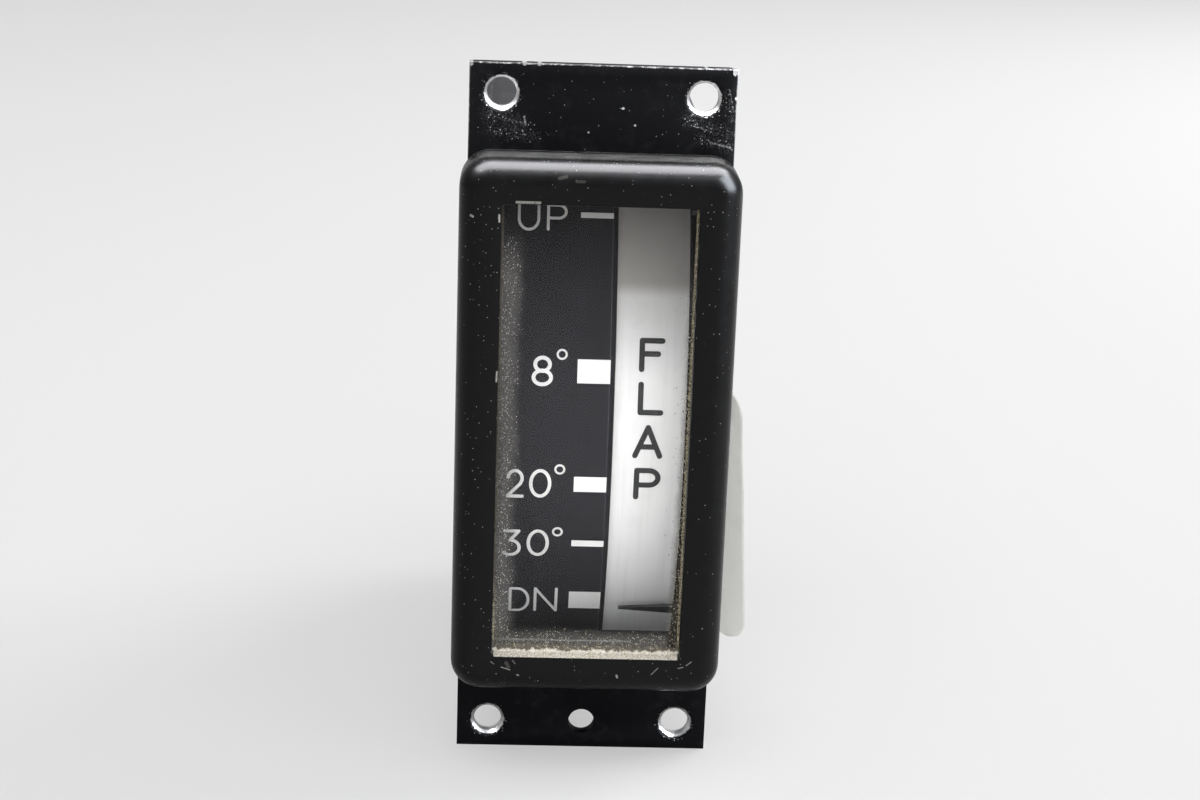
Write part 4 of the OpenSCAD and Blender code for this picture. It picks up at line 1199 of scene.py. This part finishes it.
@dataclass
class Bezel:
    """Front frame with a rounded rim round the window."""

    layout: Layout
    corner: float = 3.7
    rim_edge: float = 2.8
    back_edge: float = 0.2
    window_edge: float = 0.12
    window_corner: float = 0.4
    pocket_corner: float = 0.3
    pocket_clearance: float = 0.1
    rim_steps: int = 12

    def build(self) -> None:
        """Builds the frame as one loft from its rear round the rim into the glass pocket."""
        box = self.layout.bezel
        finish = BezelFinish("bezel_gloss_black", self.layout.window, box.low.y, box.high.y)
        shape = Shape()
        shape.loft(self._outside() + self._inside(), ring=True)
        shape.build("bezel_frame", finish.build(), Slot.BEZEL, sharp=40.0, node="bezel")

    def _outside(self) -> list[Loop]:
        """Cuts from the rear arris over the rim to the window's edge.

        Returns:
            The loops in order.
        """
        back, front = self.layout.bezel.high.y, self.layout.bezel.low.y
        chamfer = ((self.back_edge, back), (self.back_edge * 0.3, back - self.back_edge * 0.3),
                   (0.0, back - self.back_edge))
        loops = [self._rim_loop(inset, y) for inset, y in chamfer]
        for i in range(self.rim_steps + 1):
            angle = math.radians(90 * i / self.rim_steps)
            loops.append(self._rim_loop(self.rim_edge * (1 - math.cos(angle)),
                                        front + self.rim_edge * (1 - math.sin(angle))))
        (wide, high), edge = self.layout.window, self.window_edge
        for grow, y in ((edge, front), (edge * 0.3, front + edge * 0.3), (0.0, front + edge)):
            loops.append(rounded_loop(wide + grow, high + grow, self.window_corner, y))
        return loops

    def _inside(self) -> list[Loop]:
        """Cuts from the lip through the glass pocket to the rear.

        Returns:
            The loops in order.
        """
        glass, retainer = self.layout.glass, self.layout.retainer
        pocket, cavity = ((box.high.x + self.pocket_clearance, box.high.z + self.pocket_clearance)
                          for box in (glass, retainer))
        stack = ((*self.layout.window, glass.low.y), (*pocket, glass.low.y), (*pocket, retainer.low.y),
                 (*cavity, retainer.low.y), (*cavity, self.layout.bezel.high.y))
        return [rounded_loop(w, h, self.pocket_corner, y) for w, h, y in stack]

    def _rim_loop(self, inset: float, y: float) -> Loop:
        """The rim's outline moved inwards."""
        box = self.layout.bezel
        return rounded_loop(box.high.x - inset, box.high.z - inset, self.corner - inset, y)


@dataclass
class Window:
    """Glass with its aged bead, gathered grit and hidden seals."""

    layout: Layout
    bead_side: float = 0.3
    bead_foot: float = 0.95
    bead_step: float = 0.11
    bead_section: tuple[Point, ...] = ((0.0, 0.0), (1.0, 0.0), (0.82, 0.3), (0.55, 0.55), (0.28, 0.8),
                                       (0.0, 1.0))
    bead_reach: Triple = (0.86, 0.12, 0.3)
    bead_rise: Triple = (0.72, 0.2, 0.35)
    bead_corner: float = 0.35
    film: float = 0.012
    film_gap: float = 0.02
    film_corner: float = 0.3
    grains: int = 1300
    grain_sizes: Point = (0.04, 0.12)
    grain_seed: int = 7
    foot_share: float = 0.55
    left_share: float = 0.25
    foot_spread: Point = (0.3, 0.9)
    left_spread: Point = (0.2, 1.0)
    right_spread: Point = (0.1, 0.45)
    left_top: float = 22.0
    right_top: float = 12.0
    wall_gap: float = 0.1

    def build(self) -> None:
        """Builds every piece of the window."""
        dress_node("window_glass", GlassFinish("window_pane").build())
        sealant = SealantFinish("aged_sealant_crust", self.layout.window[1]).build()
        self._bead(sealant)
        self._grit_film()
        self._grains(sealant)
        rubber = DullFinish("seal_rubber", linear("232323"), linear("3a3a38"), 0.8, 0.2).build()
        dress_node("glass_gasket", rubber)
        dress_node("case_gasket", rubber)

    def _bead(self, sealant: Material) -> None:
        """Crusty bead in the corner between the glass and the window's edge.

        Args:
            sealant: Its finish.
        """
        wide, high = self.layout.window
        corners = [Vector((side * wide, 0, end * high)) for side, end in ((-1, -1), (1, -1), (1, 1), (-1, 1))]
        inwards = (Vector((0, 0, 1)), Vector((-1, 0, 0)), Vector((0, 0, -1)), Vector((1, 0, 0)))
        sections: list[Loop] = []
        for index, (start, inward) in enumerate(zip(corners, inwards)):
            end = corners[(index + 1) % 4]
            width = self.bead_side if index else self.bead_foot
            steps = int((end - start).length / self.bead_step)
            for i in range(steps):
                near_end = min(1.0, min(i, steps - i) * self.bead_step / width)
                sections.append(self._section(start.lerp(end, i / steps), inward, width, near_end))
        shape = Shape()
        shape.loft(sections, ring=True)
        shape.build("sealant_crust", sealant, Slot.SEALANT, sharp=60.0, node="sealant_bead")

    def _section(self, spot: Vector, inward: Vector, width: float, near_end: float) -> Loop:
        """One cut through the bead, from the wall across the glass.

        Args:
            spot: Where the cut stands on the window's edge.
            inward: Direction into the window.
            width: The bead's greatest width.
            near_end: 0 at a corner of the window to 1 away from it.

        Returns:
            The cut's points.
        """
        box = self.layout.bead
        depth = box.high.y - box.low.y
        mean_reach, wave_reach, rough_reach = self.bead_reach
        mean_rise, wave_rise, rough_rise = self.bead_rise
        coarse = noise.noise(Vector((spot.x * 0.5, 4.0, spot.z * 0.5)))
        loop = []
        for along, out in self.bead_section:
            rough = noise.noise(Vector((spot.x * 2.3, along * 3 + out, spot.z * 2.3)))
            calm = 1 if along < 0.99 else 0.4
            reach = along * width * (mean_reach + wave_reach * coarse + rough_reach * rough * calm)
            rise = out * depth * (mean_rise + wave_rise * coarse + rough_rise * rough)
            reach = max(0.0, min(reach, width)) * (self.bead_corner + (1 - self.bead_corner) * near_end)
            loop.append(Vector((spot.x, box.high.y - max(0.0, min(rise, depth)), spot.z)) + inward * reach)
        return loop

    def _grit_film(self) -> None:
        """A film just in front of the glass that carries the gathered grit."""
        wide, high = self.layout.window
        back = self.layout.glass.low.y - self.film_gap
        front = back - self.film
        grit = GritFinish("gathered_grit", self.layout.window, front).build()
        shape = Shape()
        shape.loft([rounded_loop(wide - self.film_gap, high - self.film_gap, self.film_corner, y, 4)
                    for y in (front, back)])
        shape.build("grit_film", grit, Slot.SEALANT)

    def _grains(self, sealant: Material) -> None:
        """Loose grains along the foot and the sides of the window.

        Args:
            sealant: Their finish.
        """
        wide, high = self.layout.window
        front = self.layout.glass.low.y - 0.03
        draw = random.Random(self.grain_seed)
        shape = Shape()
        for _ in range(self.grains):
            kind = draw.random()
            if kind < self.foot_share:
                x = draw.uniform(-wide, wide)
                z = -high + abs(draw.gauss(*self.foot_spread))
            elif kind < self.foot_share + self.left_share:
                x = -wide + abs(draw.gauss(*self.left_spread))
                z = draw.uniform(-high, self.left_top)
            else:
                x = wide - abs(draw.gauss(*self.right_spread))
                z = draw.uniform(-high, self.right_top)
            size = draw.uniform(*self.grain_sizes)
            turn = Matrix.Rotation(draw.uniform(0, math.tau), 3, Vector((draw.random(), 0.4, draw.random())))
            x = max(self.wall_gap - wide, min(wide - self.wall_gap, x))
            shape.octahedron(Vector((x, front - size * 0.6, max(z, self.wall_gap - high))), size, turn)
        shape.build("loose_grit", sealant, Slot.SEALANT, sharp=20.0)


def arc(centre: Point, reach: Point, start: float, end: float, steps: int = 20) -> list[Point]:
    """Points on an upright ellipse.

    Args:
        centre: Its centre.
        reach: Its half sizes.
        start: First angle in degrees, from the right towards the foot.
        end: Last angle.
        steps: Steps between them.

    Returns:
        The points.
    """
    return [(centre[0] + reach[0] * math.cos(math.radians(start + (end - start) * i / steps)),
             centre[1] + reach[1] * math.sin(math.radians(start + (end - start) * i / steps)))
            for i in range(steps + 1)]


@dataclass(frozen=True)
class Glyph:
    """Strokes of one letter or numeral in a box from 0 to 1, downwards."""

    strokes: tuple[tuple[Point, ...], ...]
    closed: bool = False


ROUND = arc((0.5, 0.5), (0.5, 0.5), 0, 360, 40)[:-1]
BOWL = ((0.0, 0.0), *arc((0.58, 0.27), (0.42, 0.27), -90, 90), (0.0, 0.54))
GLYPHS = {
    "U": Glyph((((0, 0), (0, 0.3), *arc((0.5, 0.62), (0.5, 0.38), 180, 0), (1, 0.3), (1, 0)),)),
    "P": Glyph((((0, 0), (0, 1)), BOWL)),
    "D": Glyph((((0, 0), (0, 1)), ((0, 0), *arc((0.42, 0.5), (0.58, 0.5), -90, 90), (0, 1)))),
    "N": Glyph((((0, 1), (0, 0)), ((0, 0), (1, 1)), ((1, 1), (1, 0)))),
    "F": Glyph((((0, 0), (0, 1)), ((0, 0), (1, 0)), ((0, 0.46), (0.8, 0.46)))),
    "L": Glyph((((0, 0), (0, 1)), ((0, 1), (1, 1)))),
    "A": Glyph((((0, 1), (0.5, 0)), ((0.5, 0), (1, 1)), ((0.17, 0.68), (0.83, 0.68)))),
    "2": Glyph(((*arc((0.5, 0.3), (0.47, 0.3), 188, 372), (0.86, 0.5), (0, 1)), ((0, 1), (1, 1)))),
    "3": Glyph((((0.05, 0), (0.95, 0)), ((0.95, 0), (0.42, 0.38)),
                (*arc((0.42, 0.69), (0.58, 0.31), -90, 135),))),
    "0": Glyph((tuple(ROUND),), True),
    "8": Glyph((tuple((0.5 + (u - 0.5) * 0.84, v * 0.5) for u, v in ROUND),
                tuple((u, 0.48 + v * 0.52) for u, v in ROUND)), True),
}


@dataclass(frozen=True)
class Print:
    """One printed letter: its glyph, its box in x and in degrees below the forward line, its stroke."""

    glyph: str
    left: float
    right: float
    top: float
    bottom: float
    stroke: float


SCALE_PRINTS = (
    Print("U", -9.72, -6.97, -34.0, -29.4, 0.34), Print("P", -6.13, -3.6, -33.5, -29.5, 0.34),
    Print("8", -7.55, -4.94, -11.72, -7.41, 0.46), Print("0", -4.55, -3.2, -12.75, -11.2, 0.25),
    Print("2", -10.38, -8.12, 4.85, 9.34, 0.41), Print("0", -7.5, -4.74, 4.78, 9.25, 0.42),
    Print("0", -4.42, -3.07, 3.98, 5.53, 0.25), Print("3", -10.72, -8.3, 14.73, 19.46, 0.41),
    Print("0", -7.59, -4.78, 14.63, 19.35, 0.42), Print("0", -4.44, -3.09, 14.17, 15.72, 0.25),
    Print("D", -9.68, -6.99, 25.8, 31.1, 0.37), Print("N", -6.46, -3.4, 25.7, 31.0, 0.37))
STRIP_PRINTS = (
    Print("F", 5.6, 8.78, -14.6, -9.7, 0.68), Print("L", 5.6, 8.8, -8.31, -3.47, 0.68),
    Print("A", 5.16, 8.9, -2.03, 3.0, 0.68), Print("P", 5.5, 8.84, 4.5, 9.52, 0.68))


@dataclass
class Lettering:
    """Printed strokes that lie on a curved sheet."""

    pivot: Point
    radius: float
    height: float = 0.05
    sunk: float = 0.02
    layer: float = 0.003
    cap_steps: int = 6
    cap_turn: float = 88.0

    def build(self, name: str, prints: Iterable[Print], finish: Material, slot: Slot) -> None:
        """Builds all letters as one piece.

        Args:
            name: Name of the piece.
            prints: The letters.
            finish: Their finish.
            slot: The record's slot.
        """
        shape = Shape()
        for number, letter in enumerate(prints):
            half = letter.stroke / 2
            left, right = letter.left + half, letter.right - half
            top = math.radians(letter.top) * self.radius + half
            bottom = math.radians(letter.bottom) * self.radius - half
            glyph = GLYPHS[letter.glyph]
            for layer, stroke in enumerate(glyph.strokes):
                line = [(left + u * (right - left), top + v * (bottom - top)) for u, v in stroke]
                shape.loft(self._ribbon(line, half, glyph.closed, self.layer * (layer + number % 2)),
                           ring=glyph.closed)
        shape.build(name, finish, slot, sharp=50.0)

    def _ribbon(self, line: list[Point], half: float, closed: bool, lift: float) -> list[Loop]:
        """Cuts along one stroke.

        Args:
            line: The stroke's middle line.
            half: Half its width.
            closed: Whether it joins its start; if not, its ends are round.
            lift: Height over the other strokes, so that faces never coincide.

        Returns:
            The cuts in order.
        """
        count = len(line)
        cuts = []
        for i, spot in enumerate(line):
            before = line[(i - 1) % count] if closed or i else line[0]
            after = line[(i + 1) % count] if closed or i < count - 1 else line[-1]
            run = Vector((after[0] - before[0], after[1] - before[1])).normalized()
            cuts.append(self._cut(spot, run, half, lift))
        if closed:
            return cuts
        return (self._cap(line[0], line[1], half, lift, -1) + cuts
                + self._cap(line[-1], line[-2], half, lift, 1)[::-1])

    def _cap(self, end: Point, inner: Point, half: float, lift: float, way: int) -> list[Loop]:
        """Cuts through a round stroke end, from outside in.

        Args:
            end: The stroke's end.
            inner: The point next to it.
            half: Half the stroke's width.
            lift: Height over the other strokes.
            way: -1 at the stroke's start, 1 at its end.

        Returns:
            The cuts.
        """
        out = Vector((end[0] - inner[0], end[1] - inner[1])).normalized()
        cuts = []
        for i in range(self.cap_steps, 0, -1):
            turn = math.radians(self.cap_turn * i / self.cap_steps)
            spot = (end[0] + out.x * half * math.sin(turn), end[1] + out.y * half * math.sin(turn))
            cuts.append(self._cut(spot, out * way, half * math.cos(turn), lift))
        return cuts

    def _cut(self, spot: Point, run: Vector, half: float, lift: float) -> Loop:
        """A stroke's section at one spot, wrapped onto the sheet.

        Args:
            spot: Where the stroke is cut.
            run: The stroke's direction there.
            half: Half its width.
            lift: Height over the other strokes.

        Returns:
            The section's four corners.
        """
        side = Vector((-run.y, run.x)) * half
        low, high = -self.sunk, self.height + lift
        return [self._wrap(spot[0] + s * side.x, spot[1] + s * side.y, h)
                for s, h in ((1, low), (-1, low), (-1, high), (1, high))]

    def _wrap(self, x: float, along: float, height: float) -> Vector:
        """Puts a place on the sheet into the shared frame."""
        angle, far = along / self.radius, self.radius + height
        return Vector((x, self.pivot[0] - far * math.cos(angle), self.pivot[1] - far * math.sin(angle)))


@dataclass
class Dial:
    """Black scale sheet and white pointer strip with their lettering."""

    layout: Layout
    sheet: float = 0.5
    gap: float = 0.05
    bevel: float = 0.6
    print_depth: float = 0.005

    def build(self) -> None:
        """Dresses both sheets and prints their letters."""
        pivot, radius = self.layout.pivot, self.layout.dial_radius
        edge = self.layout.dial.high.x
        carrier = DullFinish("carrier_black", linear("232325"), linear("303033"), 0.7, 0.15)
        dress_node("dial_plate", DialFinish("dial_black_paint", pivot, radius, edge - self.bevel).build())
        dress_node("pointer_background", StripFinish("strip_white_paint", edge).build())
        dress_node("dial_carrier", carrier.build())
        white = DullFinish("numeral_white", linear("d8d7d5"), linear("c4c3c0"), 0.7, 0.15, 6.0,
                           depth_mm=self.print_depth).build()
        black = DullFinish("word_black", linear("2e2e2f"), linear("3c3c3d"), 0.65, 0.15, 6.0,
                           depth_mm=self.print_depth).build()
        lower = radius - self.sheet - self.gap
        Lettering(pivot, radius).build("scale_numerals", SCALE_PRINTS, white, Slot.STRIP)
        Lettering(pivot, lower).build("strip_word", STRIP_PRINTS, black, Slot.POINTER)


@dataclass
class Case:
    """Sleeve, rear cover and the loose paper label."""

    layout: Layout
    edge: float = 0.12
    label_corner: float = 3.0
    label_stuck: float = 16.0
    label_lift: float = 5.3
    label_lean: float = 5.0
    label_sheet: float = 0.2
    label_wave: float = 0.1
    label_waves_per_mm: Point = (0.16, 0.12)
    label_wave_start: float = 6.0
    steps: int = 60

    def build(self) -> None:
        """Builds the case's pieces."""
        box = self.layout.case
        black = CaseFinish("case_satin_black", box.high.x, box.high.z).build()
        soften("case_shell", "case_sleeve", black, self.edge)
        soften("rear_cover", "case_rear_cover", black, self.edge)
        self._label()

    def _label(self) -> None:
        """The paper label, stuck at its rear and curled off the case in front."""
        box = self.layout.label
        reach = box.high.y - box.low.y
        loops = []
        for column in range(self.steps + 1):
            run = reach * (1 - math.cos(math.pi * column / self.steps)) / 2
            half = (box.high.z - box.low.z) / 2 - self._corner_inset(min(run, reach - run))
            inner, outer = ([self._sheet_point(run, half * (2 * row / self.steps - 1), face)
                             for row in range(self.steps + 1)] for face in range(2))
            loops.append(inner + outer[::-1])
        shape = Shape()
        shape.loft(loops)
        shape.build("paper_label", LabelFinish("label_paper_cream").build(), Slot.PAPER, 50.0, "side_label")

    def _corner_inset(self, run: float) -> float:
        """How much shorter the label is at a distance from its end, by its round corners."""
        left = max(0.0, self.label_corner - run)
        return self.label_corner - math.sqrt(max(0.0, self.label_corner ** 2 - left ** 2))

    def _sheet_point(self, run: float, up: float, face: int) -> Vector:
        """A point of the label.

        Args:
            run: Distance from the label's free edge, along the case.
            up: Height from the label's middle.
            face: 0 for its inner face, 1 for its outer face.

        Returns:
            The point in millimetres.
        """
        box = self.layout.label
        free = box.high.y - box.low.y - self.label_stuck
        radius = free / math.sin(2 * math.atan(self.label_lift / free))
        lean = math.radians(self.label_lean)
        ahead = (free - run) * math.cos(lean) - up * math.sin(lean)
        z = (box.low.z + box.high.z) / 2 + up
        along, upward = self.label_waves_per_mm
        ripple = noise.noise(Vector((run * along, z * upward, 3.0)))
        ripple *= min(1.0, max(ahead, 0.0) / self.label_wave_start)
        off = face * self.label_sheet + max(self.label_wave * ripple, -0.02)
        slope = math.asin(min(max(ahead, 0.0) / radius, 0.9))
        x = box.low.x + radius * (1 - math.cos(slope)) + off / math.cos(slope)
        return Vector((min(x, box.high.x), box.low.y + run, z))


@dataclass
class Terminals:
    """Board with three threaded studs, washers and chamfered nuts."""

    layout: Layout
    pitch: float = 12.0
    rows: tuple[int, ...] = (-1, 0, 1)
    stud_radius: float = 1.45
    root_radius: float = 1.15
    shank_radius: float = 1.95
    head_radius: float = 2.75
    head_edge: float = 0.12
    tip: float = 0.4
    thread_pitch: float = 0.45
    thread_depth: float = 0.26
    thread_power: float = 1.2
    free_gap: float = 0.2
    bore_gap: float = 0.02
    bore_edge: float = 0.25
    nut_chamfer: tuple[Point, ...] = ((0.0, 0.99), (0.18, 1.06), (0.4, 1.2))
    board_edge: float = 0.12
    metal_edge: float = 0.07
    around: int = 48
    per_turn: int = 8

    def build(self) -> None:
        """Builds the terminal pieces."""
        laminate = DullFinish("board_laminate", linear("5a3d24"), linear("6e4c2e"), 0.5, 0.4, 1.5,
                              (1.0, 1.0, 0.2), 0.02).build()
        brass = MetalFinish("terminal_brass", linear("c9a760"), linear("9a7b45"), 0.3).build()
        steel = MetalFinish("plated_steel", linear("c3c4c7"), linear("8f9094"), 0.3).build()
        soften("terminal_board", "laminate_board", laminate, self.board_edge)
        soften("terminal_washers", "plain_washers", steel, self.metal_edge)
        self._studs(brass)
        self._nuts(brass)
        soften("board_screws", "board_slotted_screws", steel, self.metal_edge)
        soften("cover_screws", "cover_slotted_screws", steel, self.metal_edge)

    def _studs(self, brass: Material) -> None:
        """Studs with a real helical thread behind the nuts.

        Args:
            brass: Their finish.
        """
        low, high = self.layout.studs.low.y, self.layout.studs.high.y
        board = self.layout.board
        start = self.layout.nuts.high.y + self.free_gap
        steps = int((high - start) / self.thread_pitch * self.per_turn)
        profile = ((self.head_radius - self.head_edge, low), (self.head_radius, low + self.head_edge),
                   (self.head_radius, board.low.y), (self.shank_radius, board.low.y),
                   (self.shank_radius, board.high.y), (self.root_radius, board.high.y),
                   (self.root_radius, start))
        shape = Shape()
        for row in self.rows:
            z = row * self.pitch
            shape.loft([circle(radius, y, z, self.around) for radius, y in profile]
                       + [self._thread_loop(start + (high - start) * step / steps, z, high)
                          for step in range(steps + 1)])
        shape.build("threaded_studs", brass, Slot.BRASS, sharp=50.0, node="terminal_studs")

    def _thread_loop(self, y: float, z: float, end: float) -> Loop:
        """One ring of the thread, its radius following the helix.

        Args:
            y: The ring's depth.
            z: Height of the stud.
            end: Depth of the stud's end, towards which the tip narrows.

        Returns:
            The ring's points.
        """
        loop = []
        limit = self.stud_radius - max(0.0, self.tip - (end - y))
        for i in range(self.around):
            phase = (y / self.thread_pitch + i / self.around) % 1.0
            crest = self.stud_radius - self.thread_depth * abs(2 * phase - 1) ** self.thread_power
            radius, angle = min(crest, limit), math.tau * i / self.around
            loop.append(Vector((radius * math.cos(angle), y, z + radius * math.sin(angle))))
        return loop

    def _nuts(self, brass: Material) -> None:
        """Hexagon nuts with turned chamfers.

        Args:
            brass: Their finish.
        """
        low, high = self.layout.nuts.low.y, self.layout.nuts.high.y
        bore = self.root_radius + self.bore_gap
        outside = [(low + depth, limit) for depth, limit in self.nut_chamfer]
        outside += [(high - depth, limit) for depth, limit in self.nut_chamfer[::-1]]
        inside = ((bore + self.bore_edge, high), (bore, high - self.bore_edge),
                  (bore, low + self.bore_edge), (bore + self.bore_edge, low))
        shape = Shape()
        for row in self.rows:
            z = row * self.pitch
            shape.loft([self._hexagon(y, z, limit) for y, limit in outside]
                       + [circle(radius, y, z, self.around) for radius, y in inside], ring=True)
        shape.build("hexagon_nuts", brass, Slot.BRASS, sharp=28.0, node="terminal_nuts")

    def _hexagon(self, y: float, z: float, limit: float) -> Loop:
        """A hexagon cut back by the turned chamfer at one depth.

        Args:
            y: The depth.
            z: Height of the nut.
            limit: The chamfer's radius there, in parts of half the width across flats.

        Returns:
            The points.
        """
        wide, tall = self.layout.nuts.high.x, self.layout.nuts.high.z - self.pitch
        half_flat = min(wide, tall)
        first_flat = math.pi / 6 if wide > tall else 0.0
        loop = []
        for i in range(self.around):
            angle = math.tau * i / self.around
            off = (angle + first_flat + math.pi / 6) % (math.pi / 3) - math.pi / 6
            radius = min(half_flat / math.cos(off), half_flat * limit)
            loop.append(Vector((radius * math.cos(angle), y, z + radius * math.sin(angle))))
        return loop


class Movement:
    """Moving coil, its bridges, springs and pointer, and what carries them."""

    def build(self) -> None:
        """Dresses every inner node."""
        brass = MetalFinish("bridge_brass", linear("c9aa66"), linear("a98a4c"), 0.34, (0.06, 1.0, 1.0))
        steel = MetalFinish("screw_steel", linear("c6c7ca"), linear("95969a"), 0.28)
        sheet = MetalFinish("mill_aluminium", linear("b9babc"), linear("9c9da0"), 0.42, (1.0, 0.05, 1.0))
        iron = MetalFinish("turned_iron", linear("7c7f84"), linear("5d6065"), 0.4, (1.0, 0.2, 0.2))
        bronze = MetalFinish("spring_bronze", linear("b98d4e"), linear("8e683a"), 0.3)
        black = DullFinish("pointer_matt_black", linear("141415"), linear("1f1f20"), 0.6, 0.2, 5.0,
                           depth_mm=0.006)
        finishes = {
            brass: ("core_spacers", "left_bridge", "right_bridge", "left_jewel_screw", "right_jewel_screw",
                    "left_spring_tag", "right_spring_tag", "balance_weights"),
            steel: ("bezel_screws", "dial_screws", "carrier_screws", "stop_pins", "chassis_screws",
                    "movement_screws", "left_lock_nut", "right_lock_nut", "left_staff", "right_staff"),
            sheet: ("glass_retainer", "chassis_plate", "coil_former"),
            iron: ("yoke_ring", "core_magnet"),
            bronze: ("left_hairspring", "right_hairspring"),
            black: ("pointer",),
            WindingFinish("copper_winding"): ("coil_winding",),
        }
        for finish, nodes in finishes.items():
            material = finish.build()
            for node in nodes:
                dress_node(node, material)


@dataclass(frozen=True)
class Lamp:
    """Soft rectangular lamp that faces the window.

    Attributes:
        name: Name of the lamp.
        elevation: Degrees above the horizon in front.
        away: Distance in millimetres.
        size: Width and height in millimetres.
        radiance: Brightness of its face, where 1 is white.
        seen: Which rays it lights.
        azimuth: Degrees towards the right.
        colour: Its colour.
    """

    name: str
    elevation: float
    away: float
    size: Point
    radiance: float
    seen: Seen
    azimuth: float = 0.0
    colour: Colour = WHITE

    def build(self, target: Vector) -> None:
        """Adds the lamp.

        Args:
            target: The place that it faces, in metres.
        """
        light = bpy.data.lights.new(self.name, "AREA")
        light.shape = "RECTANGLE"
        light.size, light.size_y = self.size[0] * MM, self.size[1] * MM
        light.energy = self.radiance * math.pi * light.size * light.size_y
        light.color = self.colour
        lamp = bpy.data.objects.new(self.name, light)
        up, side = math.radians(self.elevation), math.radians(self.azimuth)
        towards = Vector((math.sin(side) * math.cos(up), -math.cos(side) * math.cos(up), math.sin(up)))
        right = Vector((math.cos(side), math.sin(side), 0.0))
        lamp.location = target + towards * self.away * MM
        lamp.rotation_euler = Matrix((right, towards.cross(right), towards)).transposed().to_euler()
        lamp.visible_diffuse = self.seen is not Seen.BY_GLOSS
        lamp.visible_glossy = self.seen is not Seen.BY_DIFFUSE
        lamp.visible_camera = False
        lamp.visible_transmission = False
        bpy.context.scene.collection.objects.link(lamp)


LAMPS = (
    Lamp("front_lamp", 48.6, 900.0, (1000.0, 110.0), 4.2, Seen.BY_ALL, 0.0, (1.0, 0.99, 0.98)),
    Lamp("fill_lamp", 4.0, 1000.0, (900.0, 380.0), 1.3, Seen.BY_DIFFUSE),
    Lamp("overhead_lamp", 82.0, 900.0, (1300.0, 700.0), 2.0, Seen.BY_DIFFUSE),
    Lamp("back_lamp", 24.0, 900.0, (600.0, 600.0), 6.6, Seen.BY_DIFFUSE, 125.0),
    Lamp("top_lamp", 88.0, 800.0, (1500.0, 640.0), 36.0, Seen.BY_GLOSS, 18.0, (0.96, 0.96, 1.0)),
    Lamp("side_lamp", 30.0, 800.0, (600.0, 640.0), 38.0, Seen.BY_GLOSS, 62.0, (0.86, 0.92, 1.0)))


@dataclass
class Studio:
    """Floor, soft lamps, pale surroundings and the camera."""

    camera_place: Triple = (-10.07, -272.21, 83.18)
    yaw: float = -2.326
    pitch: float = 16.548
    roll: float = 2.098
    lens: float = 69.0
    sensor: float = 36.0
    nearest: float = 0.01
    target: Triple = (0.0, 0.0, 16.0)
    ambient: float = 0.45
    floor_half: float = 4000.0
    floor_colour: Colour = (0.62, 0.62, 0.62)
    floor_pale: Colour = (0.88, 0.88, 0.88)
    floor_lift: float = 0.5

    def build(self) -> None:
        """Builds the surroundings."""
        bpy.context.scene.view_settings.view_transform = "Standard"
        self._surroundings()
        self._floor()
        for lamp in LAMPS:
            lamp.build(Vector(self.target) * MM)
        self._camera()

    def _surroundings(self) -> None:
        """Even light that looks white to the camera, also through the glass."""
        g = Graph("pale_surroundings", surroundings=True)
        rays = g.node("ShaderNodeLightPath").outputs
        seen = g.math("MAXIMUM", rays["Is Camera Ray"], rays["Is Transmission Ray"])
        dim, full = (g.shader("ShaderNodeBackground", {"Color": WHITE, "Strength": strength})
                     for strength in (self.ambient, 1.0))
        bpy.context.scene.world = g.finish(g.blend(seen, dim, full))

    def _floor(self) -> None:
        """Plain pale floor under the flange's lower edge."""
        g = Graph("floor_pale")
        matt = g.shader("ShaderNodeBsdfDiffuse", {"Color": self.floor_colour})
        pale = g.shader("ShaderNodeEmission", {"Color": self.floor_pale})
        seen = g.value("ShaderNodeLightPath", output="Is Camera Ray")
        mesh = bpy.data.meshes.new("floor")
        half, level = self.floor_half * MM, CAD_BOX[0][2]
        corners = [(side * half, end * half, level) for side, end in ((-1, -1), (1, -1), (1, 1), (-1, 1))]
        mesh.from_pydata(corners, [], [(0, 1, 2, 3)])
        mesh.materials.append(g.finish(g.blend(seen * self.floor_lift, matt, pale)))
        floor = bpy.data.objects.new("floor", mesh)
        bpy.context.scene.collection.objects.link(floor)

    def _camera(self) -> None:
        """Camera at the photograph's place and angle."""
        data = bpy.data.cameras.new("front_camera")
        data.lens = self.lens
        data.sensor_width = self.sensor
        data.sensor_fit = "HORIZONTAL"
        data.clip_start = self.nearest
        camera = bpy.data.objects.new("front_camera", data)
        roll, pitch, yaw = (Matrix.Rotation(math.radians(angle), 3, axis) for angle, axis in (
            (self.roll, "Z"), (self.pitch, "X"), (self.yaw, "Y")))
        level = Matrix(((1, 0, 0), (0, 0, -1), (0, 1, 0)))
        flip = Matrix(((1, 0, 0), (0, -1, 0), (0, 0, -1)))
        turn = (roll @ pitch @ yaw @ level).transposed() @ flip
        camera.matrix_world = Matrix.Translation(Vector(self.camera_place) * MM) @ turn.to_4x4()
        bpy.context.scene.collection.objects.link(camera)
        bpy.context.scene.camera = camera


def main() -> None:
    """Builds every sub-assembly in order."""
    layout = Layout()
    for part in (Flange(layout), Bezel(layout), Window(layout), Dial(layout), Case(layout),
                 Terminals(layout), Movement(), Studio()):
        LOG.info("building %s", type(part).__name__)
        part.build()


if __name__ == "__main__":
    logging.basicConfig(level=logging.INFO, format="%(message)s")
    main()
